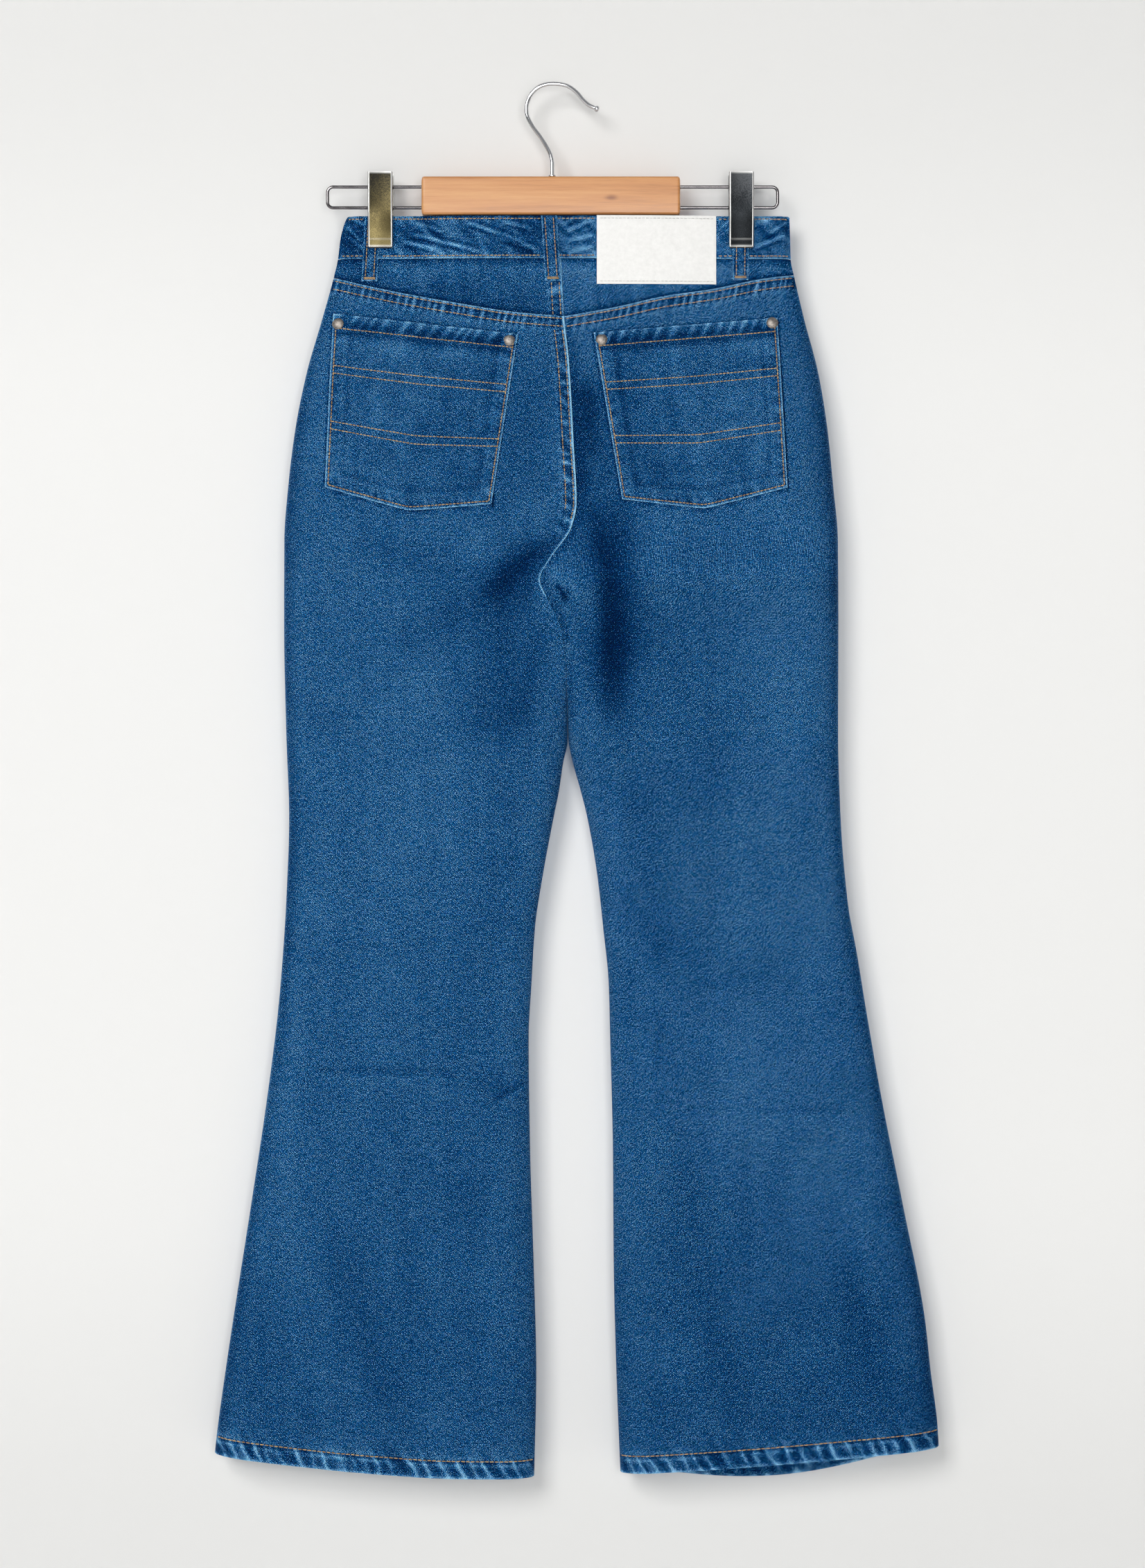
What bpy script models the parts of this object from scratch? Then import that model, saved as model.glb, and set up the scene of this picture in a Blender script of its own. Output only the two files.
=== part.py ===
"""Flared denim jeans hanging from a wooden clip hanger.

Millimetres are used throughout and turned into metres where a mesh is made. X runs to the right as the
jeans are seen from behind, Z is up, and the seat of the jeans faces -Y. The origin is the inside of the
top of the hook, where a rail or a wall hook holds it.
"""
import math

import bmesh
import bpy
import numpy as np
from mathutils import Matrix, Vector

MM = 0.001
SEAM_GAP = 0.3
LYING_GAP = 0.35
POCKET_GAP = 0.6

# Cloth thicknesses
DENIM = 1.3
WAISTBAND = 2.6
FACING = 1.0
LOOP = 1.8
LABEL = 1.2
HEM_EXTRA = 0.8

# Heights that the garment is cut to
WAIST_TOP = -105.8
WAIST_SEAM = -140.5
INSEAM_CLOSES = (-405.0, -445.0)
HEM_DEPTH = 12.5

# How a leg rounds into its side seams, and how full the front is against the back
OUTSEAM_ROUND = 34.0
INSEAM_ROUND = 30.0
FRONT_FULLNESS = 0.9
CROWN = 0.12

# Outer side seams: height, left, right
OUTSEAMS = [
    (-105.8, -168.0, 190.4), (-140.5, -174.5, 191.5), (-154.6, -177.7, 194.3), (-188.2, -187.0, 202.2),
    (-233.0, -199.9, 213.9), (-277.8, -208.9, 221.2), (-322.6, -214.5, 225.7), (-367.4, -217.8, 229.6),
    (-434.6, -218.0, 230.0), (-524.2, -216.2, 229.8), (-591.4, -213.9, 231.8), (-658.6, -216.2, 237.4),
    (-703.4, -219.0, 245.3), (-748.2, -222.9, 252.6), (-815.4, -231.3, 264.3), (-905.0, -244.7, 282.2),
    (-994.6, -258.7, 299.6), (-1039.4, -265.4, 304.6), (-1084.2, -271.6, 310.2), (-1124.0, -276.0, 312.0),
]
# Centre-back seam, then the line where the legs touch, then each inseam: height, left leg, right leg
BACK_INSEAMS = [
    (-105.8, 4.0, 4.0), (-140.5, 6.0, 6.0), (-187.6, 8.4, 8.4), (-223.4, 12.3, 12.3), (-291.8, 16.2, 16.2),
    (-338.2, 18.5, 18.5), (-357.8, 14.6, 14.6), (-383.6, -2.8, -2.8), (-400.0, -11.0, -11.0),
    (-419.4, -2.8, -2.8), (-439.6, 6.2, 6.2), (-476.6, 10.1, 10.1), (-529.0, 11.3, 11.7),
    (-546.6, 7.8, 15.1), (-569.0, 4.5, 21.3), (-591.4, 0.0, 26.9), (-636.2, -8.4, 34.7),
    (-681.0, -15.1, 39.8), (-725.8, -17.9, 44.2), (-770.6, -20.2, 45.4), (-860.2, -19.0, 47.6),
    (-949.8, -16.2, 48.2), (-1039.4, -14.0, 50.4), (-1124.0, -15.7, 53.8),
]
# Centre-front seam above the crotch: height, left leg, right leg. Below it the inseams are the back's.
FRONT_RISE = [
    (-105.8, 4.0, 4.0), (-140.5, 6.0, 6.0), (-300.0, 8.0, 8.0), (-400.0, 2.0, 2.0), (-439.6, 6.2, 6.2),
]
# Half depth of the hanging garment: height, half depth
HALF_DEPTHS = [
    (-140.5, 8.0), (-230.0, 16.5), (-300.0, 21.0), (-380.0, 23.0), (-450.0, 22.0), (-600.0, 18.5),
    (-750.0, 16.5), (-900.0, 17.0), (-1000.0, 19.0), (-1124.0, 21.5),
]
# Half depth at the waist, nipped by the clips: share of the way from side seam to centre, half depth
WAIST_DEPTHS = [
    (0.0, 0.15), (0.03, 2.7), (0.08, 3.2), (0.12, 3.1), (0.28, 3.1), (0.42, 5.2), (0.62, 7.4), (0.82, 8.0),
    (1.0, 8.2),
]
WAIST_BLEND = (-128.0, -235.0)
# Yoke seam: share of the way from side seam to centre, left height, right height
YOKE_SEAM = [
    (0.0, -155.7, -153.4), (0.15, -162.0, -157.0), (0.36, -170.0, -165.0), (0.58, -177.5, -171.5),
    (0.78, -183.7, -180.0), (1.0, -187.6, -187.6),
]
# Back hem: share of the way from outseam to inseam, left height, right height
HEM = [
    (0.0, -1104.5, -1100.4), (0.25, -1114.0, -1109.5), (0.5, -1120.5, -1115.0), (0.75, -1124.0, -1119.0),
    (1.0, -1123.9, -1120.6),
]
FRONT_HEM_DROP = {"left": 0.0, "right": -4.0}
# Large soft folds: face, leg, start x, start height, end x, end height, half width, depth into the leg
FOLDS = [
    ("back", "left", -8.0, -375.0, -42.0, -425.0, 13.0, 5.5),
    ("back", "right", 52.0, -345.0, 54.0, -530.0, 13.0, 4.5),
    ("back", "right", 40.0, -350.0, 43.0, -540.0, 9.0, -2.5),
    ("back", "left", -60.0, -800.0, -20.0, -815.0, 12.0, 2.5),
    ("front", "left", -12.0, -385.0, -70.0, -440.0, 16.0, 4.0),
    ("front", "right", 22.0, -385.0, 84.0, -435.0, 16.0, 4.0),
]
# Scoop of the front pockets: how far in along the waist and how far down the side seam
SCOOP_SHARE = 0.42
SCOOP_DROP = 75.0
SCOOP_MARGIN = 20.0
FACING_COLUMNS = 8

# Back pockets, seen from behind: name, then corners in order top left, top right, low right, low left
BACK_POCKETS = [
    ("left", (-177.2, -185.8), (-28.8, -202.8), (-50.0, -339.8), (-183.4, -326.3)),
    ("right", (32.2, -201.6), (179.8, -189.1), (187.5, -326.5), (55.0, -336.0)),
]
POCKET_POINT = 12.5
RIVET_RADIUS = 4.8
RIVET_HEIGHT = 1.6
RIVETS = [
    ("left_outer", -173.4, -194.1), ("left_inner", -35.8, -208.0),
    ("right_inner", 38.6, -207.5), ("right_outer", 175.8, -193.5),
]
LOOP_WIDTH = 12.5
# Belt loops: name, face, top x, bottom x, bottom height, how far the middle stands off
BELT_LOOPS = [
    ("centre_back", "back", -3.9, -0.5, -159.0, 0.8), ("back_left", "back", -146.0, -148.8, -158.8, 0.0),
    ("back_right", "back", 151.0, 150.6, -157.7, 0.0), ("front_left", "front", -88.0, -90.0, -158.5, 0.8),
    ("front_right", "front", 104.0, 106.0, -158.5, 0.8),
]
LABEL_BOX = (34.7, 131.0, -105.3, -161.3)
OVERLAP_END = 16.0
UNDERLAP_END = -24.0
FLY_WIDTH = 36.0
FLY_LENGTH = 150.0
BUTTON_RADIUS = 8.5

# Hanger
BAR = {"left": -106.8, "right": 102.1, "top": -74.0, "bottom": -105.0, "depth": 14.0}
WIRE_RADIUS = 1.3
WIRE_ENDS = {"left": -184.2, "right": 182.2}
WIRE_HEIGHTS = (-81.8, -98.6)
WIRE_CORNER = 4.5
WIRE_SEAT = 14.0
BORE_CLEARANCE = 0.35
# Clips: name, centre x, back cloth at the jaw (half depth)
CLIPS = [("left", -139.9, 6.3), ("right", 151.3, 6.3)]
CLIP = {"width": 20.0, "top": -71.0, "bend": -104.0, "knee": -119.0, "bottom": -131.0,
        "sheet": 1.1, "flange": 4.0, "swell": 10.5, "front_grip": 4.3}
CLIP_CORE = (-102.8, -77.5)
HOOK_RADIUS = 1.75
HOOK_SEAT = 9.0
# Hook centre line after the stem: x, height
HOOK_PATH = [
    (-1.4, -76.0), (-1.4, -62.0), (-3.4, -54.0), (-9.8, -43.0), (-17.4, -32.5), (-21.6, -24.0), (-22.0, -16.0),
    (-18.8, -7.5), (-12.5, -1.2), (-4.5, 1.5), (4.5, 1.4), (12.0, -0.6), (18.6, -5.5), (23.6, -11.4),
    (28.4, -15.6), (32.6, -17.6),
]
# Collar where the stem meets the bar, and ball at the tip: how far along, radius
HOOK_COLLAR = [(0.3, 1.75), (0.35, 3.1), (1.7, 3.1), (1.9, 1.75)]
HOOK_BALL = [(0.0, 1.5), (0.7, 2.3), (1.9, 2.7), (3.2, 2.3), (3.9, 1.3)]

COLOURS = {
    "denim": (0.020, 0.088, 0.235, 0.85, 0.0),
    "dark_denim": (0.014, 0.060, 0.160, 0.85, 0.0),
    "label": (0.84, 0.84, 0.81, 0.6, 0.0),
    "aged_metal": (0.30, 0.24, 0.18, 0.35, 1.0),
    "chrome": (0.75, 0.75, 0.75, 0.12, 1.0),
    "wood": (0.70, 0.36, 0.17, 0.5, 0.0),
}


def clear_scene():
    for item in list(bpy.data.objects):
        bpy.data.objects.remove(item, do_unlink=True)


def material(name, finish):
    red, green, blue, roughness, metallic = COLOURS[finish]
    made = bpy.data.materials.new(name)
    made.use_nodes = True
    shader = made.node_tree.nodes["Principled BSDF"]
    shader.inputs["Base Color"].default_value = (red, green, blue, 1.0)
    shader.inputs["Roughness"].default_value = roughness
    shader.inputs["Metallic"].default_value = metallic
    return made


def smooth(edge0, edge1, value):
    share = np.clip((value - edge0) / (edge1 - edge0), 0.0, 1.0)
    return share * share * (3.0 - 2.0 * share)


def read_table(rows, column, at):
    """A column of a table at the given keys, on a smooth curve that never overshoots its rows."""
    ordered = sorted(rows)
    keys = np.array([row[0] for row in ordered], float)
    values = np.array([row[column] for row in ordered], float)
    steps = np.diff(keys)
    secants = np.diff(values) / steps
    slopes = np.zeros(len(keys))
    slopes[0] = secants[0]
    slopes[-1] = secants[-1]
    same_way = secants[:-1] * secants[1:] > 0.0
    total = np.where(same_way, secants[:-1] + secants[1:], 1.0)
    slopes[1:-1] = np.where(same_way, 2.0 * secants[:-1] * secants[1:] / total, 0.0)
    at = np.clip(np.asarray(at, float), keys[0], keys[-1])
    row = np.clip(np.searchsorted(keys, at) - 1, 0, len(steps) - 1)
    step = steps[row]
    t = (at - keys[row]) / step
    start = (1.0 + 2.0 * t) * (1.0 - t) ** 2 * values[row] + t * (1.0 - t) ** 2 * step * slopes[row]
    end = t * t * (3.0 - 2.0 * t) * values[row + 1] + t * t * (t - 1.0) * step * slopes[row + 1]
    return start + end


def outer_edge(leg, height):
    return read_table(OUTSEAMS, 1 if leg == "left" else 2, height)


def inner_edge(leg, face, height):
    """Centre seam above the crotch and inseam below it, half a seam gap in from the middle line."""
    column = 1 if leg == "left" else 2
    edge = read_table(BACK_INSEAMS, column, height)
    if face == "front":
        rise_end = FRONT_RISE[-1][0]
        edge = np.where(height > rise_end, read_table(FRONT_RISE, column, height), edge)
    half_gap = SEAM_GAP / 2.0
    return edge - half_gap if leg == "left" else edge + half_gap


def fold_depth(face, leg, x, z):
    """How far the large folds push the cloth into the leg at a point."""
    total = np.zeros(np.broadcast(x, z).shape)
    for fold_face, fold_leg, x0, z0, x1, z1, width, depth in FOLDS:
        if fold_face != face or fold_leg != leg:
            continue
        along = np.array([x1 - x0, z1 - z0])
        length = np.hypot(*along)
        share = ((x - x0) * along[0] + (z - z0) * along[1]) / length ** 2
        side = ((x - x0) * along[1] - (z - z0) * along[0]) / length
        ends = np.exp(-(np.clip(np.abs(share - 0.5) - 0.32, 0.0, None) * length / (1.4 * width)) ** 2)
        total = total + depth * ends * np.exp(-(side / width) ** 2)
    return total


def half_depth(leg, face, x, z):
    """Outer half depth of a leg and of the hips at a point of the outline, before folds."""
    outer = outer_edge(leg, z)
    inner = inner_edge(leg, face, z)
    share = np.clip((x - outer) / (inner - outer), 0.0, 1.0)
    closed = smooth(*INSEAM_CLOSES, z)
    from_outer = np.clip(np.abs(x - outer) / OUTSEAM_ROUND, 0.0, 1.0)
    from_inner = np.clip(np.abs(x - inner) / INSEAM_ROUND, 0.0, 1.0)
    outer_round = np.sqrt(1.0 - (1.0 - from_outer) ** 2)
    inner_round = np.sqrt(1.0 - (1.0 - from_inner) ** 2)
    rounding = outer_round * (1.0 + closed * (inner_round - 1.0))
    crown = 1.0 - CROWN + CROWN * np.sin(math.pi * np.clip(share, 0.0, 1.0)) * closed + CROWN * (1.0 - closed)
    full = read_table(HALF_DEPTHS, 1, z) * (FRONT_FULLNESS if face == "front" else 1.0)
    body = SEAM_GAP / 2.0 + (full - SEAM_GAP / 2.0) * rounding * crown
    waist = read_table(WAIST_DEPTHS, 1, share)
    return waist + (body - waist) * smooth(WAIST_BLEND[0], WAIST_BLEND[1], z)


def surface(leg, face, x, z, raised=0.0):
    """Signed y of the outer cloth at a point of the outline."""
    depth = half_depth(leg, face, x, z) - fold_depth(face, leg, x, z) * edge_fade(leg, face, x, z) + raised
    return -depth if face == "back" else depth


def edge_fade(leg, face, x, z):
    """Folds die away at the side seams, where the two panels of a leg meet."""
    outer = np.abs(x - outer_edge(leg, z))
    inner = np.abs(x - inner_edge(leg, face, z))
    closed = smooth(*INSEAM_CLOSES, z)
    inner_fade = 1.0 + closed * (smooth(0.0, 28.0, inner) - 1.0)
    return smooth(0.0, 40.0, outer) * inner_fade


def new_object(name, mesh, finish):
    mesh.materials.append(material(name, finish))
    made = bpy.data.objects.new(name, mesh)
    bpy.context.scene.collection.objects.link(made)
    return made


def mesh_object(name, points, faces, finish):
    """One closed body from points in millimetres, faces turned outwards."""
    mesh = bpy.data.meshes.new(name)
    mesh.from_pydata([tuple(point) for point in np.asarray(points, float) * MM], [], faces)
    body = bmesh.new()
    body.from_mesh(mesh)
    bmesh.ops.recalc_face_normals(body, faces=body.faces)
    body.to_mesh(mesh)
    body.free()
    mesh.shade_smooth()
    mesh.set_sharp_from_angle(angle=math.radians(40.0))
    return new_object(name, mesh, finish)


def shell(name, outer, inner, finish):
    """A closed wall between two grids of points with the same rows and columns."""
    rows, columns = outer.shape[:2]
    points = np.concatenate([outer.reshape(-1, 3), inner.reshape(-1, 3)])
    back = rows * columns

    def at(row, column, side):
        return side * back + row * columns + column

    faces = []
    for row in range(rows - 1):
        for column in range(columns - 1):
            corners = ((row, column), (row, column + 1), (row + 1, column + 1), (row + 1, column))
            faces.append([at(r, c, 0) for r, c in corners])
            faces.append([at(r, c, 1) for r, c in reversed(corners)])
    border = [(0, column) for column in range(columns)]
    border += [(row, columns - 1) for row in range(1, rows)]
    border += [(rows - 1, column) for column in range(columns - 2, -1, -1)]
    border += [(row, 0) for row in range(rows - 2, 0, -1)]
    for start, end in zip(border, border[1:] + border[:1]):
        faces.append([at(*end, 0), at(*start, 0), at(*start, 1), at(*end, 1)])
    return mesh_object(name, points, faces, finish)


def eased_columns(count):
    """Shares from 0 to 1, closer together near both ends."""
    return (1.0 - np.cos(np.linspace(0.0, math.pi, count))) / 2.0


def panel_grids(leg, face, shares, heights, thickness):
    """Outer and inner points of a panel wall on a grid of shares and heights."""
    half_gap = SEAM_GAP / 2.0
    side = 1.0 if leg == "left" else -1.0
    outer_x0 = outer_edge(leg, heights)
    outer_x1 = inner_edge(leg, face, heights)
    closed = smooth(*INSEAM_CLOSES, heights)
    x = outer_x0 + (outer_x1 - outer_x0) * shares
    inner_x0 = outer_x0 + side * thickness
    inner_x1 = outer_x1 - side * thickness * closed
    inner_x = inner_x0 + (inner_x1 - inner_x0) * shares
    depth = np.maximum(np.abs(surface(leg, face, x, heights)), half_gap)
    inner_depth = np.maximum(depth - thickness, half_gap)
    sign = -1.0 if face == "back" else 1.0
    outer = np.stack([x, sign * depth, heights], axis=-1)
    inner = np.stack([inner_x, sign * inner_depth, heights], axis=-1)
    return outer, inner


def row_heights(top, hem, shares, nominal):
    """Heights of a panel's grid: nominal rows, bent to meet a shaped top edge and a shaped hem."""
    reach = 150.0
    rows = nominal[:, None] * np.ones_like(shares)[None, :]
    from_top = np.exp(-((nominal[0] - nominal) / reach) ** 2)[:, None]
    from_hem = np.exp(-((nominal - nominal[-1]) / reach) ** 2)[:, None]
    return rows + (top - nominal[0])[None, :] * from_top + (hem - nominal[-1])[None, :] * from_hem


PANEL_COLUMNS = 14
HEM_ROW = -1121.5
# Nominal heights of a leg panel's rows, closest at the crotch, with a step in thickness at the hem band
LEG_ROWS = np.array([
    -182.0, -215.0, -255.0, -300.0, -335.0, -360.0, -378.0, -395.0, -412.0, -430.0, -452.0, -485.0, -525.0,
    -570.0, -620.0, -680.0, -745.0, -815.0, -890.0, -965.0, -1035.0, -1085.0, HEM_ROW + HEM_DEPTH + 0.5,
    HEM_ROW + HEM_DEPTH, HEM_ROW,
])
FRONT_TOP_ROWS = [WAIST_SEAM - SEAM_GAP / 2.0, -168.0, -195.0, -230.0]


def leg_panel(leg, face):
    shares = eased_columns(PANEL_COLUMNS)
    column = 1 if leg == "left" else 2
    hem = read_table(HEM, column, shares)
    if face == "back":
        top = read_table(YOKE_SEAM, column, shares) - SEAM_GAP / 2.0
        nominal = LEG_ROWS
    else:
        top = scoop_height(shares)
        hem = hem + FRONT_HEM_DROP[leg] * np.sin(math.pi * shares)
        nominal = np.concatenate([FRONT_TOP_ROWS, LEG_ROWS[3:]])
    heights = row_heights(top, hem, shares, nominal)
    shares = np.broadcast_to(shares, heights.shape)
    outer, inner = panel_grids(leg, face, shares, heights, DENIM)
    inner_hem = panel_grids(leg, face, shares, heights, DENIM + HEM_EXTRA)[1]
    inner[-2:] = inner_hem[-2:]
    return shell(f"{face}_panel_{leg}", outer, inner, "denim")


def scoop_height(shares):
    """Top edge of a front panel: the waist seam, scooped away towards the side seam."""
    inside = np.clip(1.0 - (shares / SCOOP_SHARE) ** 2, 0.0, 1.0)
    return WAIST_SEAM - SEAM_GAP / 2.0 - SCOOP_DROP * inside ** 0.7


def yoke(leg):
    shares = eased_columns(PANEL_COLUMNS)
    column = 1 if leg == "left" else 2
    bottom = read_table(YOKE_SEAM, column, shares) + SEAM_GAP / 2.0
    top = np.full(shares.shape, WAIST_SEAM - SEAM_GAP / 2.0)
    steps = np.linspace(0.0, 1.0, 4)[:, None]
    heights = top + (bottom - top) * steps
    outer, inner = panel_grids(leg, "back", np.broadcast_to(shares, heights.shape), heights, DENIM)
    return shell(f"yoke_{leg}", outer, inner, "denim")


def pocket_facing(leg):
    """Denim that shows inside the scooped front pocket, one layer behind the front panel."""
    shares = eased_columns(PANEL_COLUMNS)[1:FACING_COLUMNS]
    behind = DENIM + POCKET_GAP
    bottom = scoop_height(shares) - SCOOP_MARGIN
    top = np.full(shares.shape, WAIST_SEAM - SEAM_GAP / 2.0)
    steps = np.linspace(0.0, 1.0, 6)[:, None]
    heights = top + (bottom - top) * steps
    grid = np.broadcast_to(shares, heights.shape)
    outer = panel_grids(leg, "front", grid, heights, behind)[1]
    inner = panel_grids(leg, "front", grid, heights, behind + FACING)[1]
    return shell(f"front_pocket_facing_{leg}", outer, inner, "dark_denim")


def waist_path():
    """Stations along the waistband, from its lower end at the centre front once round to its upper end."""
    half = [1.0, 0.93, 0.84, 0.74, 0.62, 0.52, 0.42, 0.34, 0.27, 0.19, 0.12, 0.07, 0.035, 0.012]
    right_front = [("right", "front", share) for share in half]
    right_back = [("right", "back", share) for share in [0.0] + half[::-1]]
    left_back = [("left", "back", share) for share in half[1:]]
    left_front = [("left", "front", share) for share in [0.0] + half[::-1]]
    return right_front + right_back + left_back + left_front


def waistband_points(leg, face, share, height, inset):
    x0 = outer_edge(leg, height) + (inset if leg == "left" else -inset)
    x1 = outer_edge(leg, height) * 0.0 + read_table(BACK_INSEAMS, 1, height)
    proud = 0.7
    depth = read_table(WAIST_DEPTHS, 1, share) + proud - inset
    edge = smooth(0.0, 0.03, share)
    depth = np.maximum(depth, 0.4) * edge
    return x0 + (x1 - x0) * share, -depth if face == "back" else depth


def waistband():
    """One strip round the waist whose left end laps over its right end at the centre front."""
    heights = (WAIST_TOP, WAIST_SEAM + SEAM_GAP / 2.0)
    lap = WAISTBAND + LYING_GAP
    outer_rows = []
    inner_rows = []
    for height in heights:
        outer = [waistband_points(leg, face, share, height, 0.0) for leg, face, share in waist_path()]
        inner = [waistband_points(leg, face, share, height, WAISTBAND) for leg, face, share in waist_path()]
        middle = float(read_table(BACK_INSEAMS, 1, height))
        first = waistband_points("right", "front", 1.0, height, 0.0)[1]
        outer.insert(0, (middle + UNDERLAP_END, first))
        inner.insert(0, (middle + UNDERLAP_END, first - WAISTBAND))
        for rows, depth in ((outer, first), (inner, first - WAISTBAND)):
            lifted = [(x, y + lap * lift_over(x - middle)) for x, y in rows[-14:]]
            rows[-14:] = lifted
            rows.append((middle + OVERLAP_END, depth + lap))
        outer_rows.append([(x, y, height) for x, y in outer])
        inner_rows.append([(x, y, height) for x, y in inner])
    return shell("waistband", np.array(outer_rows), np.array(inner_rows), "denim")


def lift_over(x):
    """The lapping end rises before it reaches the end beneath."""
    return float(smooth(UNDERLAP_END - 34.0, UNDERLAP_END - 4.0, x))


def waist_surface(face, x, z):
    """Half depth of the outermost cloth near the waist, the waistband's or the panel's."""
    middle = read_table(BACK_INSEAMS, 1, z)
    left = x < middle
    outer = np.where(left, outer_edge("left", z), outer_edge("right", z))
    share = np.clip((x - outer) / (middle - outer), 0.0, 1.0)
    band = np.where(z > WAIST_SEAM - 3.0, read_table(WAIST_DEPTHS, 1, share) + 0.7, 0.0)
    panel = np.where(left, half_depth("left", face, x, z), half_depth("right", face, x, z))
    return np.maximum(band, panel)


def lying_shell(name, x, z, depth, thickness, face, finish):
    """A wall that lies on the garment, its underside at the given half depths."""
    sign = -1.0 if face == "back" else 1.0
    outer = np.stack([x, sign * (depth + thickness), z], axis=-1)
    inner = np.stack([x, sign * depth, z], axis=-1)
    return shell(name, outer, inner, finish)


def belt_loop(name, face, top_x, bottom_x, bottom, stand_off):
    heights = np.array([WAIST_TOP - 1.2, -113.0, -122.0, -131.0, -138.0, -144.5, -150.0, bottom])
    t = ((heights - heights[0]) / (bottom - heights[0]))[:, None]
    across = np.linspace(-0.5, 0.5, 4)[None, :]
    x = top_x + (bottom_x - top_x) * t + LOOP_WIDTH * across
    z = heights[:, None] + 0.0 * x
    depth = waist_surface(face, x, z) + LYING_GAP + stand_off * np.sin(math.pi * t)
    lying_shell(f"belt_loop_{name}", x, z, depth, LOOP, face, "denim")


def label_patch():
    left, right, top, bottom = LABEL_BOX
    x, z = np.meshgrid(np.linspace(left, right, 8), np.linspace(top - 0.6, bottom, 6))
    band = waist_surface("back", x, np.full(x.shape, WAIST_SEAM + 1.0))
    depth = np.maximum(band, waist_surface("back", x, z)) + LYING_GAP
    lying_shell("label_patch", x, z, depth, LABEL, "back", "label")


def surface_normal(leg, face, x, z):
    step = 0.5
    slope_x = (surface(leg, face, x + step, z) - surface(leg, face, x - step, z)) / (2.0 * step)
    slope_z = (surface(leg, face, x, z + step) - surface(leg, face, x, z - step)) / (2.0 * step)
    sign = -1.0 if face == "back" else 1.0
    normal = np.stack([-slope_x * sign, np.full(np.shape(x), sign), -slope_z * sign], axis=-1)
    return normal / np.linalg.norm(normal, axis=-1, keepdims=True)


def on_surface(leg, face, x, z, height):
    """Points at a height above the outer cloth."""
    base = np.stack([x, surface(leg, face, x, z), z], axis=-1)
    return base + surface_normal(leg, face, x, z) * height


def back_pocket(leg, top_left, top_right, low_right, low_left):
    across = np.linspace(0.0, 1.0, 13)[None, :]
    down = np.linspace(0.0, 1.0, 11)[:, None]
    corners = [np.array(corner) for corner in (top_left, top_right, low_right, low_left)]
    left = corners[0][0] + (corners[3][0] - corners[0][0]) * down
    right = corners[1][0] + (corners[2][0] - corners[1][0]) * down
    left_z = corners[0][1] + (corners[3][1] - corners[0][1]) * down
    right_z = corners[1][1] + (corners[2][1] - corners[1][1]) * down
    x = left + (right - left) * across
    z = left_z + (right_z - left_z) * across - POCKET_POINT * down ** 2 * (1.0 - np.abs(2.0 * across - 1.0))
    outer = on_surface(leg, "back", x, z, POCKET_GAP + DENIM)
    inner = on_surface(leg, "back", x, z, POCKET_GAP)
    shell(f"back_pocket_{leg}", outer, inner, "denim")


def turned(name, profile, place, axis, segments, finish):
    """A solid of revolution from a radius and height profile, standing on a point along an axis."""
    points = []
    faces = []
    for radius, height in profile[:-1]:
        for turn in range(segments):
            angle = 2.0 * math.pi * turn / segments
            points.append(Vector((radius * math.cos(angle), radius * math.sin(angle), height)))
    rings = len(profile) - 1
    for ring in range(rings - 1):
        for turn in range(segments):
            after = (turn + 1) % segments
            faces.append([ring * segments + turn, ring * segments + after,
                          (ring + 1) * segments + after, (ring + 1) * segments + turn])
    points.append(Vector((0.0, 0.0, profile[-1][1])))
    last = (rings - 1) * segments
    faces += [[last + turn, last + (turn + 1) % segments, rings * segments] for turn in range(segments)]
    faces.append(list(range(segments))[::-1])
    spin = Vector(axis).to_track_quat("Z", "Y").to_matrix().to_4x4()
    moved = Matrix.Translation(Vector(place)) @ spin
    return mesh_object(name, [moved @ point for point in points], faces, finish)


def rivet(name, x, z):
    leg = "left" if x < 0.0 else "right"
    base = on_surface(leg, "back", np.array([x]), np.array([z]), DENIM + POCKET_GAP + LYING_GAP)[0]
    normal = surface_normal(leg, "back", np.array([x]), np.array([z]))[0]
    profile = [(RIVET_RADIUS, 0.0), (RIVET_RADIUS, 0.5), (RIVET_RADIUS * 0.82, RIVET_HEIGHT * 0.75),
               (RIVET_RADIUS * 0.5, RIVET_HEIGHT), (0.0, RIVET_HEIGHT)]
    turned(f"rivet_{name}", profile, base, normal, 14, "aged_metal")


def fly():
    """Straight fly with a rounded lower corner, lapping the centre-front seam."""
    down = np.linspace(0.0, 1.0, 9)[:, None]
    across = np.linspace(0.0, 1.0, 6)[None, :]
    z = WAIST_SEAM - 0.6 - FLY_LENGTH * down + 0.0 * across
    middle = read_table(FRONT_RISE, 1, z)
    width = FLY_WIDTH * np.sqrt(np.clip(1.0 - (np.clip(down - 0.72, 0.0, None) / 0.3) ** 2, 0.0, 1.0))
    x = middle + 4.0 - width * (1.0 - across)
    depth = np.where(x < middle, half_depth("left", "front", x, z), half_depth("right", "front", x, z))
    lying_shell("fly", x, z, depth + LYING_GAP, DENIM, "front", "denim")


def button():
    middle = float(read_table(BACK_INSEAMS, 1, WAIST_TOP))
    band = read_table(WAIST_DEPTHS, 1, 1.0) + 0.7 + WAISTBAND + 2.0 * LYING_GAP
    profile = [(BUTTON_RADIUS * 0.82, 0.0), (BUTTON_RADIUS, 0.8), (BUTTON_RADIUS, 1.8),
               (BUTTON_RADIUS * 0.85, 2.6), (BUTTON_RADIUS * 0.7, 2.3), (0.0, 2.3)]
    place = (middle - 4.0, float(band), (WAIST_TOP + WAIST_SEAM) / 2.0)
    turned("waist_button", profile, place, (0.0, 1.0, 0.0), 18, "aged_metal")


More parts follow.
